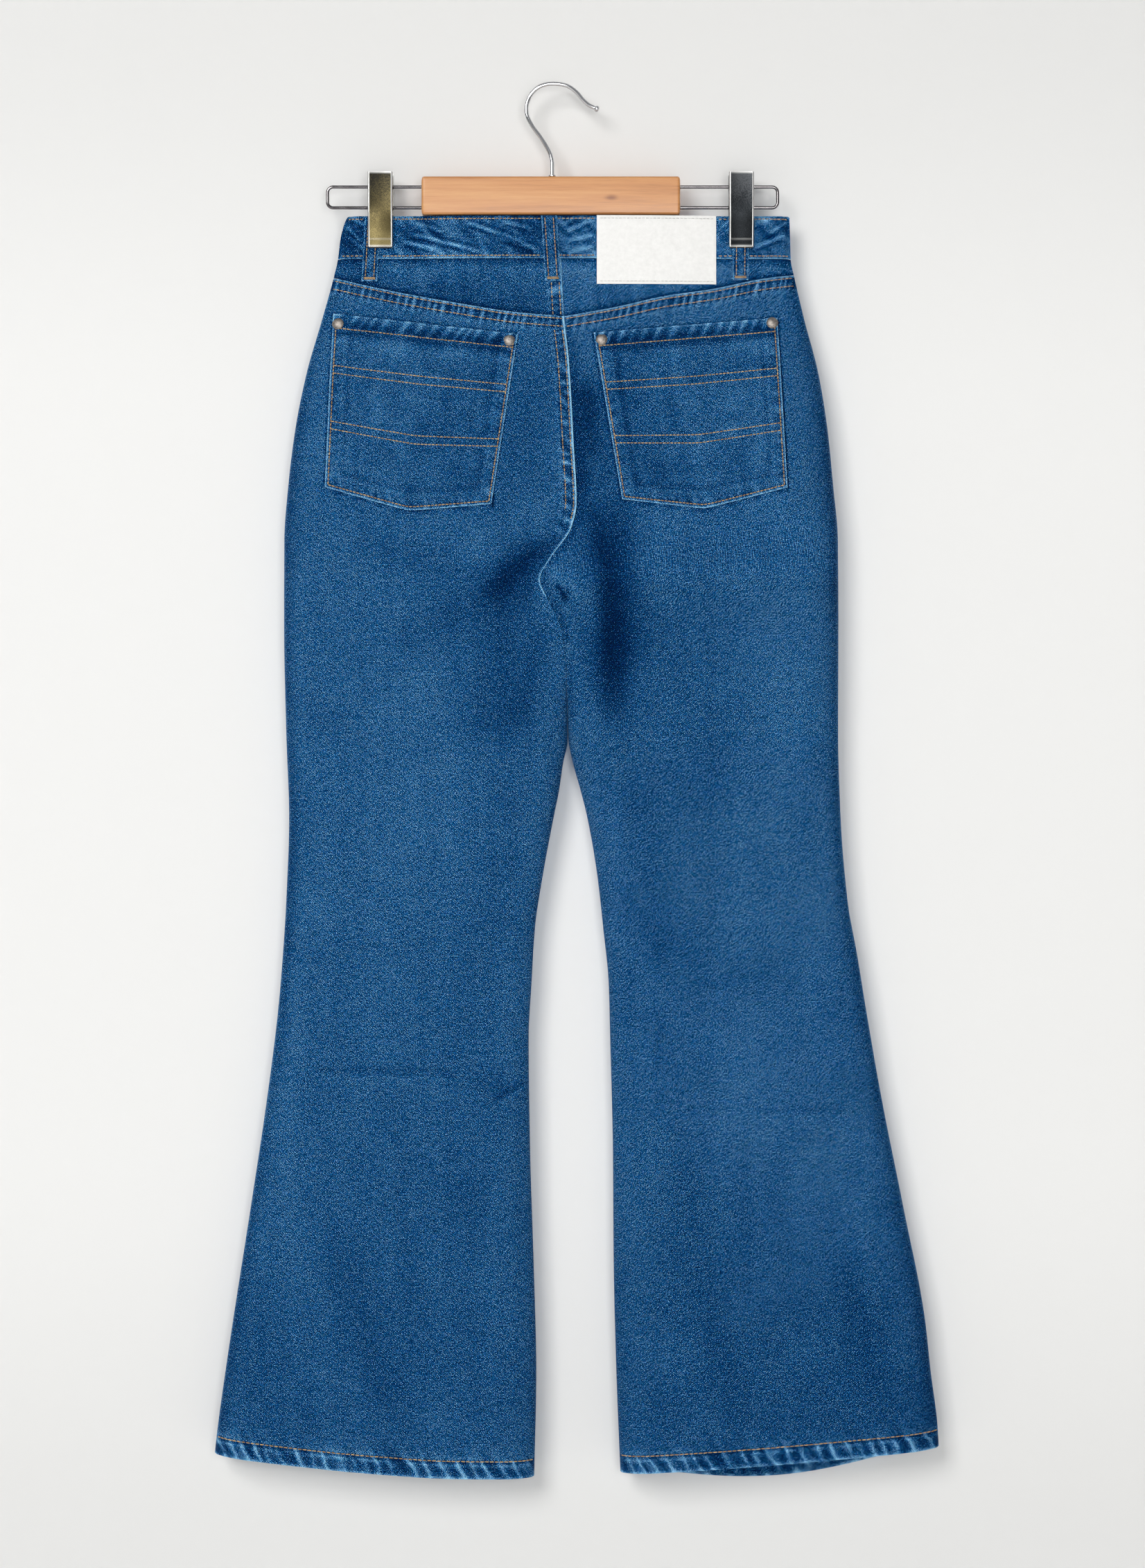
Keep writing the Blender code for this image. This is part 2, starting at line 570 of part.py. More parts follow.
def tube(name, path, radius, sides, finish):
    """A round wire along a path of points, with flat ends. The radius is one number or one for each point."""
    path = [Vector(point) for point in path]
    radii = np.broadcast_to(radius, len(path))
    points = []
    faces = []
    for index, point in enumerate(path):
        ahead = path[min(index + 1, len(path) - 1)] - path[max(index - 1, 0)]
        along = ahead.normalized()
        across = Vector((0.0, 1.0, 0.0))
        other = along.cross(across).normalized()
        for turn in range(sides):
            angle = 2.0 * math.pi * (turn + 0.5) / sides
            points.append(point + float(radii[index]) * (math.cos(angle) * across + math.sin(angle) * other))
    for ring in range(len(path) - 1):
        for turn in range(sides):
            after = (turn + 1) % sides
            faces.append([ring * sides + turn, ring * sides + after,
                          (ring + 1) * sides + after, (ring + 1) * sides + turn])
    faces.append(list(range(sides))[::-1])
    faces.append([(len(path) - 1) * sides + turn for turn in range(sides)])
    return mesh_object(name, points, faces, finish)


def spline(points, steps):
    """Points on a smooth curve through the given ones."""
    ends = [points[0]] + list(points) + [points[-1]]
    made = []
    for before, start, end, after in zip(ends, ends[1:], ends[2:], ends[3:]):
        for step in range(steps):
            t = step / steps
            made.append(tuple(
                0.5 * (2.0 * b + (c - a) * t + (2.0 * a - 5.0 * b + 4.0 * c - d) * t * t
                       + (3.0 * b - a - 3.0 * c + d) * t ** 3)
                for a, b, c, d in zip(before, start, end, after)))
    return made + [tuple(points[-1])]


def box(name, low, high, finish, bevel=0.0):
    body = bmesh.new()
    bmesh.ops.create_cube(body, size=1.0)
    size = Vector(high) - Vector(low)
    centre = (Vector(high) + Vector(low)) / 2.0
    for vert in body.verts:
        vert.co = Vector([c + v * s for c, v, s in zip(centre, vert.co, size)]) * MM
    if bevel:
        bmesh.ops.bevel(body, geom=body.edges[:], offset=bevel * MM, segments=2, profile=0.5, affect="EDGES")
    mesh = bpy.data.meshes.new(name)
    body.to_mesh(mesh)
    body.free()
    return new_object(name, mesh, finish)


def cut(target, cutter):
    """Take a cutter's shape out of a solid, and remove the cutter."""
    change = target.modifiers.new("cut", "BOOLEAN")
    change.operation = "DIFFERENCE"
    change.object = cutter
    made = bpy.data.meshes.new_from_object(target.evaluated_get(bpy.context.evaluated_depsgraph_get()))
    target.modifiers.clear()
    target.data = made
    bpy.data.objects.remove(cutter, do_unlink=True)


def bore(target, start, end, radius):
    cut(target, tube("cutter", [start, end], radius, 12, "wood"))


def hanger_bar():
    """Wooden bar with round edges, bored at its ends for the wires and on top for the hook."""
    half = BAR["depth"] / 2.0
    bar = box("hanger_bar", (BAR["left"], -half, BAR["bottom"]), (BAR["right"], half, BAR["top"]), "wood", 2.0)
    hole = WIRE_RADIUS + BORE_CLEARANCE
    for end, way in ((BAR["left"], 1.0), (BAR["right"], -1.0)):
        for height in WIRE_HEIGHTS:
            start = (end - way * 2.0, 0.0, height)
            bore(bar, start, (end + way * (WIRE_SEAT + 1.0), 0.0, height), hole)
    x, stem_low = HOOK_PATH[0]
    bore(bar, (x, 0.0, stem_low - HOOK_SEAT - 1.0), (x, 0.0, BAR["top"] + 2.0), HOOK_RADIUS + BORE_CLEARANCE)


def hanger_wire(side):
    """U of wire: out of the bar, round two corners and back into it."""
    way = -1.0 if side == "left" else 1.0
    end = WIRE_ENDS[side] - way * WIRE_RADIUS
    root = BAR[side] - way * WIRE_SEAT
    top, bottom = WIRE_HEIGHTS
    corner = [math.radians(angle) for angle in (0.0, 30.0, 60.0, 90.0)]
    path = [(root, 0.0, top)]
    path += [(end - way * WIRE_CORNER * (1.0 - math.sin(a)), 0.0, top - WIRE_CORNER * (1.0 - math.cos(a)))
             for a in corner]
    path += [(end - way * WIRE_CORNER * (1.0 - math.cos(a)), 0.0, bottom + WIRE_CORNER * (1.0 - math.sin(a)))
             for a in corner]
    path.append((root, 0.0, bottom))
    tube(f"hanger_wire_{side}", path, WIRE_RADIUS, 8, "chrome")


def hanger_hook():
    """Bent wire seated in the bar, with a collar on the bar and a ball at the tip."""
    x, stem_low = HOOK_PATH[0]
    stations = [(x, stem_low - HOOK_SEAT, HOOK_RADIUS)]
    stations += [(x, BAR["top"] + up, radius) for up, radius in HOOK_COLLAR]
    curve = spline(HOOK_PATH[1:], 3)
    stations += [(px, pz, HOOK_RADIUS) for px, pz in curve]
    tip = Vector(curve[-1])
    ahead = (tip - Vector(curve[-2])).normalized()
    stations += [(*(tip + ahead * (0.4 + along)), radius) for along, radius in HOOK_BALL]
    path = [(px, 0.0, pz) for px, pz, radius in stations]
    tube("hanger_hook", path, [radius for px, pz, radius in stations], 10, "chrome")


def clip_channel(name, x, path, finish):
    """Pressed sheet channel: a web that follows a path of y and height, with flanges turned inwards."""
    half = CLIP["width"] / 2.0
    sheet = CLIP["sheet"]
    way = -1.0 if path[0][0] > 0.0 else 1.0
    sections = []
    for y, z, flange in path:
        inward = y + way * flange
        web = y + way * sheet
        sections.append([
            (x - half, y, z), (x + half, y, z), (x + half, inward, z), (x + half - sheet, inward, z),
            (x + half - sheet, web, z), (x - half + sheet, web, z), (x - half + sheet, inward, z),
            (x - half, inward, z),
        ])
    points = [point for section in sections for point in section]
    count = 8
    faces = []
    for ring in range(len(sections) - 1):
        for corner in range(count):
            after = (corner + 1) % count
            faces.append([ring * count + corner, ring * count + after,
                          (ring + 1) * count + after, (ring + 1) * count + corner])
    last = (len(sections) - 1) * count
    for base in (0, last):
        faces += [[base, base + 1, base + 4, base + 5], [base + 1, base + 2, base + 3, base + 4],
                  [base + 5, base + 6, base + 7, base]]
    mesh_object(name, points, faces, finish)


def clip(name, x, grip):
    """Two channels on a core that rides on the wires, closed on the waistband."""
    top = CLIP["top"]
    bottom = CLIP["bottom"]
    sheet = CLIP["sheet"]
    swell = CLIP["swell"]
    grip_out = grip + sheet
    front_out = CLIP["front_grip"] + sheet
    flange = CLIP["flange"]
    bend = CLIP["bend"]
    knee = CLIP["knee"]
    back_path = [(-swell, top, flange), (-swell, bend, flange), (-grip_out - 0.8, knee, sheet + 0.05),
                 (-grip_out, bottom, sheet + 0.05)]
    front_path = [(swell, top, flange), (swell, bend, flange), (front_out + 0.8, knee, sheet + 0.05),
                  (front_out, bottom, sheet + 0.05)]
    clip_channel(f"clip_jaw_back_{name}", x, back_path, "chrome")
    clip_channel(f"clip_jaw_front_{name}", x, front_path, "chrome")
    half = CLIP["width"] / 2.0 - sheet - SEAM_GAP
    depth = swell - sheet - SEAM_GAP
    core = box(f"clip_core_{name}", (x - half, -depth, CLIP_CORE[0]), (x + half, depth, CLIP_CORE[1]), "chrome")
    for height in WIRE_HEIGHTS:
        bore(core, (x - half - 2.0, 0.0, height), (x + half + 2.0, 0.0, height), WIRE_RADIUS + BORE_CLEARANCE)


def main():
    clear_scene()
    for leg in ("left", "right"):
        leg_panel(leg, "back")
        leg_panel(leg, "front")
        yoke(leg)
        pocket_facing(leg)
        hanger_wire(leg)
    waistband()
    for name, face, top_x, bottom_x, bottom, stand_off in BELT_LOOPS:
        belt_loop(name, face, top_x, bottom_x, bottom, stand_off)
    label_patch()
    for leg, top_left, top_right, low_right, low_left in BACK_POCKETS:
        back_pocket(leg, top_left, top_right, low_right, low_left)
    for name, x, z in RIVETS:
        rivet(name, x, z)
    fly()
    button()
    hanger_bar()
    hanger_hook()
    for name, x, grip in CLIPS:
        clip(name, x, grip)


main()
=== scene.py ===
import math

import bpy
import numpy as np
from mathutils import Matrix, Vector


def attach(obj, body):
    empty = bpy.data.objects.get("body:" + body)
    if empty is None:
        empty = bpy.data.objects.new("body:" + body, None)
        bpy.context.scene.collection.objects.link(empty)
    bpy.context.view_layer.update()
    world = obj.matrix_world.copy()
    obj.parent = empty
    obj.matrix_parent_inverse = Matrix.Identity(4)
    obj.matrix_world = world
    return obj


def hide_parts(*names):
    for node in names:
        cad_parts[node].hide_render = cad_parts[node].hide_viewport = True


# Flared jeans on a clip hanger. Lengths are millimetres in the script and metres in the meshes and nodes.
# X is to the right as the back of the jeans is seen, Z is up, and the back faces -Y.

mm = 0.001
scene = bpy.context.scene
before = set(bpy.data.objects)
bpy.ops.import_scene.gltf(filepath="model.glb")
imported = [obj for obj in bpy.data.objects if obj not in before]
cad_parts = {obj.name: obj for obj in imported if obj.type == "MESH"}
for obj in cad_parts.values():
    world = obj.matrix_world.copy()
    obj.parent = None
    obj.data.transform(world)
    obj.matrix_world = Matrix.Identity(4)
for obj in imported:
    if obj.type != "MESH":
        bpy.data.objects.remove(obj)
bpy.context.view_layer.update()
print("frame loaded:", len(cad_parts), "nodes")


def plug(tree, node, inputs):                   # gives inputs their values, or links them to outputs
    for key, value in inputs.items():
        if isinstance(value, bpy.types.NodeSocket):
            tree.links.new(value, node.inputs[key])
        else:
            node.inputs[key].default_value = value


def newNode(tree, kind, inputs=None, **settings):
    node = tree.nodes.new(kind)
    for key, value in settings.items():
        setattr(node, key, value)
    plug(tree, node, inputs or {})
    return node


def mathNode(tree, operation, *values):
    return newNode(tree, "ShaderNodeMath", dict(enumerate(values)), operation=operation).outputs[0]


def addUp(tree, total, *parts):                 # the total plus each part times its strength
    for part, strength in parts:
        total = mathNode(tree, "ADD", total, mathNode(tree, "MULTIPLY", part, strength))
    return total


def rangeNode(tree, value, start, end, kind="SMOOTHSTEP"):
    inputs = {"Value": value, "From Min": start, "From Max": end}
    return newNode(tree, "ShaderNodeMapRange", inputs, interpolation_type=kind).outputs["Result"]


def mixColours(tree, share, first, second):
    return newNode(tree, "ShaderNodeMix", {"Factor": share, 6: first, 7: second}, data_type="RGBA").outputs[2]


def objectPlace(tree):
    return newNode(tree, "ShaderNodeTexCoord").outputs["Object"]


def newMaterial(name, inputs):
    made = bpy.data.materials.new(name)
    made.use_nodes = True
    shader = made.node_tree.nodes["Principled BSDF"]
    plug(made.node_tree, shader, inputs)
    return made, made.node_tree, shader


stage = {
    "cameraFrom": (15.1, -3000.0, -564.4),    # straight at the middle of the picture
    "lens": 85.2,                             # with a 36 mm high sensor: 0.56 mm to a pixel of the photo
    "wallY": 25.0,                            # the wall is just behind the garment
    "floorZ": -1500.0,
    "colour": (0.772, 0.773, 0.768),
    "wallPaintedShade": 0.10,                      # how much darker the wall gets above and below the garment
    "wallDims": (0.28, 0.66),                 # heights over or under the camera where that starts and ends
    "floorFades": (1.2, 4.2),                 # distances where the floor turns into the backdrop
    "keyPower": 226.0,
    "fillPower": 92.0,
    "backPower": 100.0,
    "worldStrength": 0.12,
    "backdropColour": (0.95, 0.965, 1.0),
    "backdropStrength": 0.82,                 # how bright the studio looks where there is no wall
    "glossShare": 0.30,                       # how much of that the shiny metal reflects
}


def makeCamera():
    lens = bpy.data.cameras.new("photoCamera")
    lens.lens = stage["lens"]
    lens.sensor_fit = "VERTICAL"
    lens.sensor_height = 36.0
    lens.clip_end = 50.0
    camera = bpy.data.objects.new("photoCamera", lens)
    camera.location = Vector(stage["cameraFrom"]) * mm
    camera.rotation_euler = (math.radians(90.0), 0.0, 0.0)
    scene.collection.objects.link(camera)
    scene.camera = camera


def areaLight(name, place, target, size, power, colour):
    light = bpy.data.lights.new(name, "AREA")
    light.shape = "SQUARE"
    light.size = size
    light.energy = power
    light.color = colour
    lamp = bpy.data.objects.new(name, light)
    lamp.location = place
    lamp.rotation_euler = (Vector(target) - Vector(place)).to_track_quat("-Z", "Y").to_euler()
    scene.collection.objects.link(lamp)


def stagePlane(name, corners, material):
    mesh = bpy.data.meshes.new(name)
    mesh.from_pydata(corners, [], [(0, 1, 2, 3)])
    mesh.materials.append(material)
    plane = bpy.data.objects.new(name, mesh)
    scene.collection.objects.link(plane)


def stageMaterial(name):
    paint = (*stage["colour"], 1.0)
    return newMaterial(name, {"Base Color": paint, "Roughness": 0.9, "Specular IOR Level": 0.1})


def mixShaders(tree, share, first, second):
    mix = newNode(tree, "ShaderNodeMixShader", {"Fac": share, 1: first, 2: second})
    plug(tree, tree.nodes["Material Output"], {"Surface": mix.outputs["Shader"]})


def wallMaterial():
    # Clear from behind and casting no shadow; painted shade makes it dimmer above and below the garment.
    made, tree, shader = stageMaterial("wallPaint")
    behind = newNode(tree, "ShaderNodeNewGeometry").outputs["Backfacing"]
    shadow = newNode(tree, "ShaderNodeLightPath").outputs["Is Shadow Ray"]
    clear = newNode(tree, "ShaderNodeBsdfTransparent").outputs["BSDF"]
    mixShaders(tree, mathNode(tree, "MAXIMUM", behind, shadow), shader.outputs["BSDF"], clear)
    height = newNode(tree, "ShaderNodeSeparateXYZ", {"Vector": objectPlace(tree)}).outputs["Z"]
    away = mathNode(tree, "ABSOLUTE", mathNode(tree, "ADD", height, -stage["cameraFrom"][2] * mm))
    pale, dim = ((*[c * level for c in stage["colour"]], 1.0) for level in (1.0, 1.0 - stage["wallPaintedShade"]))
    paint = mixColours(tree, rangeNode(tree, away, *stage["wallDims"]), pale, dim)
    plug(tree, shader, {"Base Color": paint})
    return made


def floorMaterial():
    # Far from the object the floor turns into the backdrop.
    made, tree, shader = stageMaterial("paleFloor")
    glow = {"Color": (*stage["backdropColour"], 1.0), "Strength": stage["backdropStrength"]}
    glow = newNode(tree, "ShaderNodeEmission", glow).outputs["Emission"]
    reach = newNode(tree, "ShaderNodeVectorMath", {0: objectPlace(tree)}, operation="LENGTH").outputs["Value"]
    seen = newNode(tree, "ShaderNodeLightPath").outputs["Is Camera Ray"]
    share = mathNode(tree, "MULTIPLY", rangeNode(tree, reach, *stage["floorFades"]), seen)
    mixShaders(tree, share, shader.outputs["BSDF"], glow)
    return made


def makeStage():
    y = stage["wallY"] * mm
    low = stage["floorZ"] * mm
    stagePlane("wall", [(-2.2, y, low), (2.2, y, low), (2.2, y, 1.6), (-2.2, y, 1.6)], wallMaterial())
    stagePlane("floor", [(-14.0, -14.0, low), (14.0, -14.0, low), (14.0, 14.0, low), (-14.0, 14.0, low)],
               floorMaterial())
    back = stage["backPower"]
    areaLight("keyLight", (-2.3, -5.4, 1.8), (0.0, 0.0, -0.55), 2.6, stage["keyPower"], (1.0, 0.99, 0.97))
    areaLight("fillLight", (0.5, -5.0, -0.5), (0.0, 0.0, -0.6), 1.6, stage["fillPower"], (1.0, 0.998, 0.985))
    areaLight("backKey", (2.0, 4.0, 1.2), (0.0, 0.0, -0.5), 1.8, back, (1.0, 0.99, 0.97))
    areaLight("backFill", (-2.2, 3.8, -0.3), (0.0, 0.0, -0.5), 1.8, 0.5 * back, (0.97, 0.98, 1.0))
    world = bpy.data.worlds.new("studio")
    world.use_nodes = True
    tree = world.node_tree
    rays = newNode(tree, "ShaderNodeLightPath").outputs
    share = mathNode(tree, "MULTIPLY_ADD", rays["Is Glossy Ray"], stage["glossShare"], rays["Is Camera Ray"])
    seen = {"Value": share, "To Min": stage["worldStrength"], "To Max": stage["backdropStrength"]}
    strength = newNode(tree, "ShaderNodeMapRange", seen).outputs["Result"]
    plug(tree, tree.nodes["Background"], {"Color": (*stage["backdropColour"], 1.0), "Strength": strength})
    scene.world = world
    scene.view_settings.view_transform = "Standard"


makeCamera()
makeStage()
print("camera and stage ready")


def ease(share):                                # 0 to 1 with level ends
    return share * share * (3.0 - 2.0 * share)


def smoothStep(edge0, edge1, value):            # 0 before edge0, 1 after edge1, eased between
    return ease(np.clip((value - edge0) / (edge1 - edge0), 0.0, 1.0))


def bump(distance, width):                      # 1 at 0, falling like a bell over the width
    return np.exp(-(distance / width) ** 2)


def band(distance, start, end, soft):           # 1 between start and end, eased over soft
    return smoothStep(start - soft, start, distance) * (1.0 - smoothStep(end, end + soft, distance))


def readTable(rows, column, at):
    # Piecewise cubic through the rows, its slopes the harmonic mean of the steps on each side.
    ordered = sorted(rows)
    keys = np.array([row[0] for row in ordered], float)
    values = np.array([row[column] for row in ordered], float)
    steps = np.diff(keys)
    secants = np.diff(values) / steps
    slopes = np.zeros(len(keys))
    slopes[0] = secants[0]
    slopes[-1] = secants[-1]
    sameWay = secants[:-1] * secants[1:] > 0.0
    total = np.where(sameWay, secants[:-1] + secants[1:], 1.0)
    slopes[1:-1] = np.where(sameWay, 2.0 * secants[:-1] * secants[1:] / total, 0.0)
    at = np.clip(np.asarray(at, float), keys[0], keys[-1])
    row = np.clip(np.searchsorted(keys, at) - 1, 0, len(steps) - 1)
    step = steps[row]
    t = (at - keys[row]) / step
    start = (1.0 + 2.0 * t) * (1.0 - t) ** 2 * values[row] + t * (1.0 - t) ** 2 * step * slopes[row]
    end = t * t * (3.0 - 2.0 * t) * values[row + 1] + t * t * (t - 1.0) * step * slopes[row + 1]
    return start + end


def noiseLine(along, seed):                     # smooth random curve, about -1 to 1, one knot a unit
    knots = np.random.RandomState(seed).uniform(-1.0, 1.0, 1024)
    cell = np.floor(along).astype(int)
    t = ease(along - cell)
    return knots[cell % 1024] * (1.0 - t) + knots[(cell + 1) % 1024] * t


def noiseCloud(x, z, seed):                     # smooth random field, about -1 to 1, one knot a unit
    knots = np.random.RandomState(seed).uniform(-1.0, 1.0, (128, 128))
    cellX = np.floor(x).astype(int)
    cellZ = np.floor(z).astype(int)
    tx = ease(x - cellX)
    tz = ease(z - cellZ)
    low, high = (knots[cellX % 128, row] * (1.0 - tx) + knots[(cellX + 1) % 128, row] * tx
                 for row in (cellZ % 128, (cellZ + 1) % 128))
    return low * (1.0 - tz) + high * tz


def buildMesh(name, points, quads, materials, uv=None, wearAndShading=None, materialIndex=None, sharpAngle=40.0):
    # Whole arrays into one mesh: points in millimetres, quads of point numbers.
    points = np.asarray(points, float).reshape(-1, 3) * mm
    quads = np.asarray(quads, np.int32).reshape(-1, 4)
    mesh = bpy.data.meshes.new(name)
    mesh.vertices.add(len(points))
    mesh.vertices.foreach_set("co", points.astype(np.float32).ravel())
    mesh.loops.add(quads.size)
    mesh.loops.foreach_set("vertex_index", quads.ravel())
    mesh.polygons.add(len(quads))
    mesh.polygons.foreach_set("loop_start", np.arange(0, quads.size, 4, dtype=np.int32))
    for material in materials:
        mesh.materials.append(material)
    if materialIndex is not None:
        mesh.polygons.foreach_set("material_index", np.asarray(materialIndex, np.int32))
    mesh.update(calc_edges=True)
    if uv is not None:
        layer = mesh.uv_layers.new(name="clothUv")
        spread = (np.asarray(uv, float).reshape(-1, 2) * mm)[quads.ravel()]
        layer.data.foreach_set("uv", spread.astype(np.float32).ravel())
    # A point attribute of tone: rubbing together with painted shade and painted highlights.
    if wearAndShading is not None:
        layer = mesh.attributes.new("wearAndShading", "FLOAT", "POINT")
        layer.data.foreach_set("value", np.asarray(wearAndShading, np.float32).ravel())
    mesh.validate()
    mesh.shade_smooth()
    mesh.set_sharp_from_angle(angle=math.radians(sharpAngle))
    piece = bpy.data.objects.new(name, mesh)
    scene.collection.objects.link(piece)
    return piece


def gridQuads(rows, columns, offset=0, flip=False):
    number = np.arange(rows * columns).reshape(rows, columns) + offset
    corners = [number[:-1, :-1], number[1:, :-1], number[1:, 1:], number[:-1, 1:]]
    return np.stack(corners[::-1] if flip else corners, axis=-1).reshape(-1, 4)


def tubeQuads(rows, columns, cap):              # a grid whose last column meets its first, a cap at each end
    number = np.arange(rows * columns).reshape(rows, columns)
    after = np.roll(number, -1, axis=1)
    tube = np.stack([number[:-1], number[1:], after[1:], after[:-1]], axis=-1).reshape(-1, 4)
    return np.concatenate([tube, cap, cap[:, ::-1] + (rows - 1) * columns])


def ringCap(count):                             # quads that close a ring of points
    ring = np.arange(count)
    half = count // 2
    back = ring[::-1]
    return np.stack([ring[:half - 1], ring[1:half], back[1:half], back[:half - 1]], axis=-1)


def wallQuads(rows, columns, flipOuter):        # outer grid, rim and inner grid of a closed wall
    count = rows * columns
    number = np.arange(count).reshape(rows, columns)
    border = np.concatenate([number[0, :-1], number[:-1, -1], number[-1, :0:-1], number[:0:-1, 0]])
    after = np.roll(border, -1)
    rim = np.stack([border, after, after + count, border + count], axis=-1)
    rim = rim if flipOuter else rim[:, ::-1]
    return gridQuads(rows, columns, 0, flipOuter), rim, gridQuads(rows, columns, count, not flipOuter)


def unit(vectors):
    return vectors / np.maximum(np.linalg.norm(vectors, axis=-1, keepdims=True), 1e-9)


def surfaceArea(grid):                          # area of a grid of points, in square millimetres
    across = grid[1:, 1:] - grid[:-1, :-1]
    down = grid[1:, :-1] - grid[:-1, 1:]
    return float(np.linalg.norm(np.cross(across, down), axis=-1).sum() / 2.0)


def arcAlong(grid, axis):                       # running length along a grid's rows or columns
    step = np.linalg.norm(np.diff(grid, axis=axis), axis=-1)
    pad = [(0, 0), (0, 0)]
    pad[axis] = (1, 0)
    return np.pad(np.cumsum(step, axis=axis), pad)


def declare(piece, nodes=()):
    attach(piece, "root")
    if nodes:
        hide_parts(*nodes)


def finishCloth(piece, nodes, width, length, area):
    declare(piece, nodes)
    width = width * mm
    length = length * mm
    area = min(max(area * mm * mm, 0.31 * width * length), width * length)


def clothShell(name, outer, inner, wearAndShading, nodes, restsOn, flipOuter, turned=None):
    # A closed wall between two grids, its edge joined by a strip; the inside shows the weft face,
    # but for the points turned up inside at a hem, which show the outer face.
    rows, columns = outer.shape[:2]
    outerQuads, rim, innerQuads = wallQuads(rows, columns, flipOuter)
    turned = np.zeros((rows, columns), bool) if turned is None else turned
    inside = 1 - turned[:-1, :-1].astype(int).ravel()
    index = np.concatenate([np.zeros(len(outerQuads) + len(rim)), inside])
    acrossLength = arcAlong(outer, 1)
    middle = slice(columns // 2, columns // 2 + 1)
    u = acrossLength - acrossLength[:, middle] + outer[:, middle, 0]
    uv = np.stack([u, outer[..., 2]], axis=-1).reshape(-1, 2)
    wearAndShading = np.concatenate([np.ravel(wearAndShading), np.where(turned, wearAndShading, 0.0).ravel()])
    points = np.concatenate([outer.reshape(-1, 3), inner.reshape(-1, 3)])
    quads = np.concatenate([outerQuads, rim, innerQuads])
    piece = buildMesh(name, points, quads, [denimOuter, denimInner], np.tile(uv, (2, 1)), wearAndShading, index)
    finishCloth(piece, nodes, acrossLength.max(), arcAlong(outer, 0).max(), surfaceArea(outer))


denim = {
    "twillPitch": 1.08,       # distance between twill lines
    "tickPitch": 1.25,        # length of the warp floats along a line
    "twillTilt": 56.0,        # their rise, in degrees from the weft
    # How strongly rubbing with painted shade, and each part of the weave, move the tone
    "wearAndShading": 0.46, "twill": 0.24, "ticks": 0.13, "warp": 0.55, "weft": 0.13, "speckle": 2.35, "cloud": 0.11,
    "wash": 0.12,
    # Tone and colour, from deep indigo to faded
    "stops": [(0.0, (0.0002, 0.0058, 0.036)), (0.25, (0.0003, 0.0118, 0.073)), (0.5, (0.0009, 0.050, 0.196)),
              (0.62, (0.0040, 0.099, 0.336)), (0.76, (0.024, 0.226, 0.588)), (1.0, (0.31, 0.59, 0.84))],
}


def newGroup(name, inputs):                     # gives a colour, a roughness and a height
    group = bpy.data.node_groups.new(name, "ShaderNodeTree")
    outputs = [("Color", "Color"), ("Roughness", "Float"), ("Height", "Float")]
    for way, sockets in (("INPUT", inputs), ("OUTPUT", outputs)):
        for label, kind in sockets:
            group.interface.new_socket(name=label, in_out=way, socket_type=f"NodeSocket{kind}")
    return group, newNode(group, "NodeGroupInput").outputs, newNode(group, "NodeGroupOutput")


def stretchedNoise(tree, vector, scale, detail, roughness=0.5):
    place = newNode(tree, "ShaderNodeMapping", {"Vector": vector, "Scale": scale}).outputs["Vector"]
    inputs = {"Vector": place, "Scale": 1.0, "Detail": detail, "Roughness": roughness}
    return mathNode(tree, "SUBTRACT", newNode(tree, "ShaderNodeTexNoise", inputs).outputs["Fac"], 0.5)


def rampNode(tree, value, stops):
    ramp = newNode(tree, "ShaderNodeValToRGB", {"Fac": value})
    elements = ramp.color_ramp.elements
    while len(elements) < len(stops):
        elements.new(0.5)
    for element, (place, colour) in zip(elements, stops):
        element.position = place
        element.color = (*colour, 1.0)
    return ramp.outputs["Color"]


def bumpNormal(tree, height, strength, distance):
    inputs = {"Height": height, "Strength": strength, "Distance": distance}
    return newNode(tree, "ShaderNodeBump", inputs).outputs["Normal"]


def wearAndShadingValue(tree):
    return newNode(tree, "ShaderNodeAttribute", attribute_name="wearAndShading").outputs["Fac"]


def lineWave(tree, place, wobble, pitch, angle, bend):
    # Sine of the distance along an angle, one turn a pitch, its phase bent by the wobble.
    turns = 2.0 * math.pi / (pitch * mm)
    across = mathNode(tree, "MULTIPLY", place["X"], math.cos(angle) * turns)
    return mathNode(tree, "SINE", addUp(tree, across, (place["Y"], math.sin(angle) * turns), (wobble, bend)))


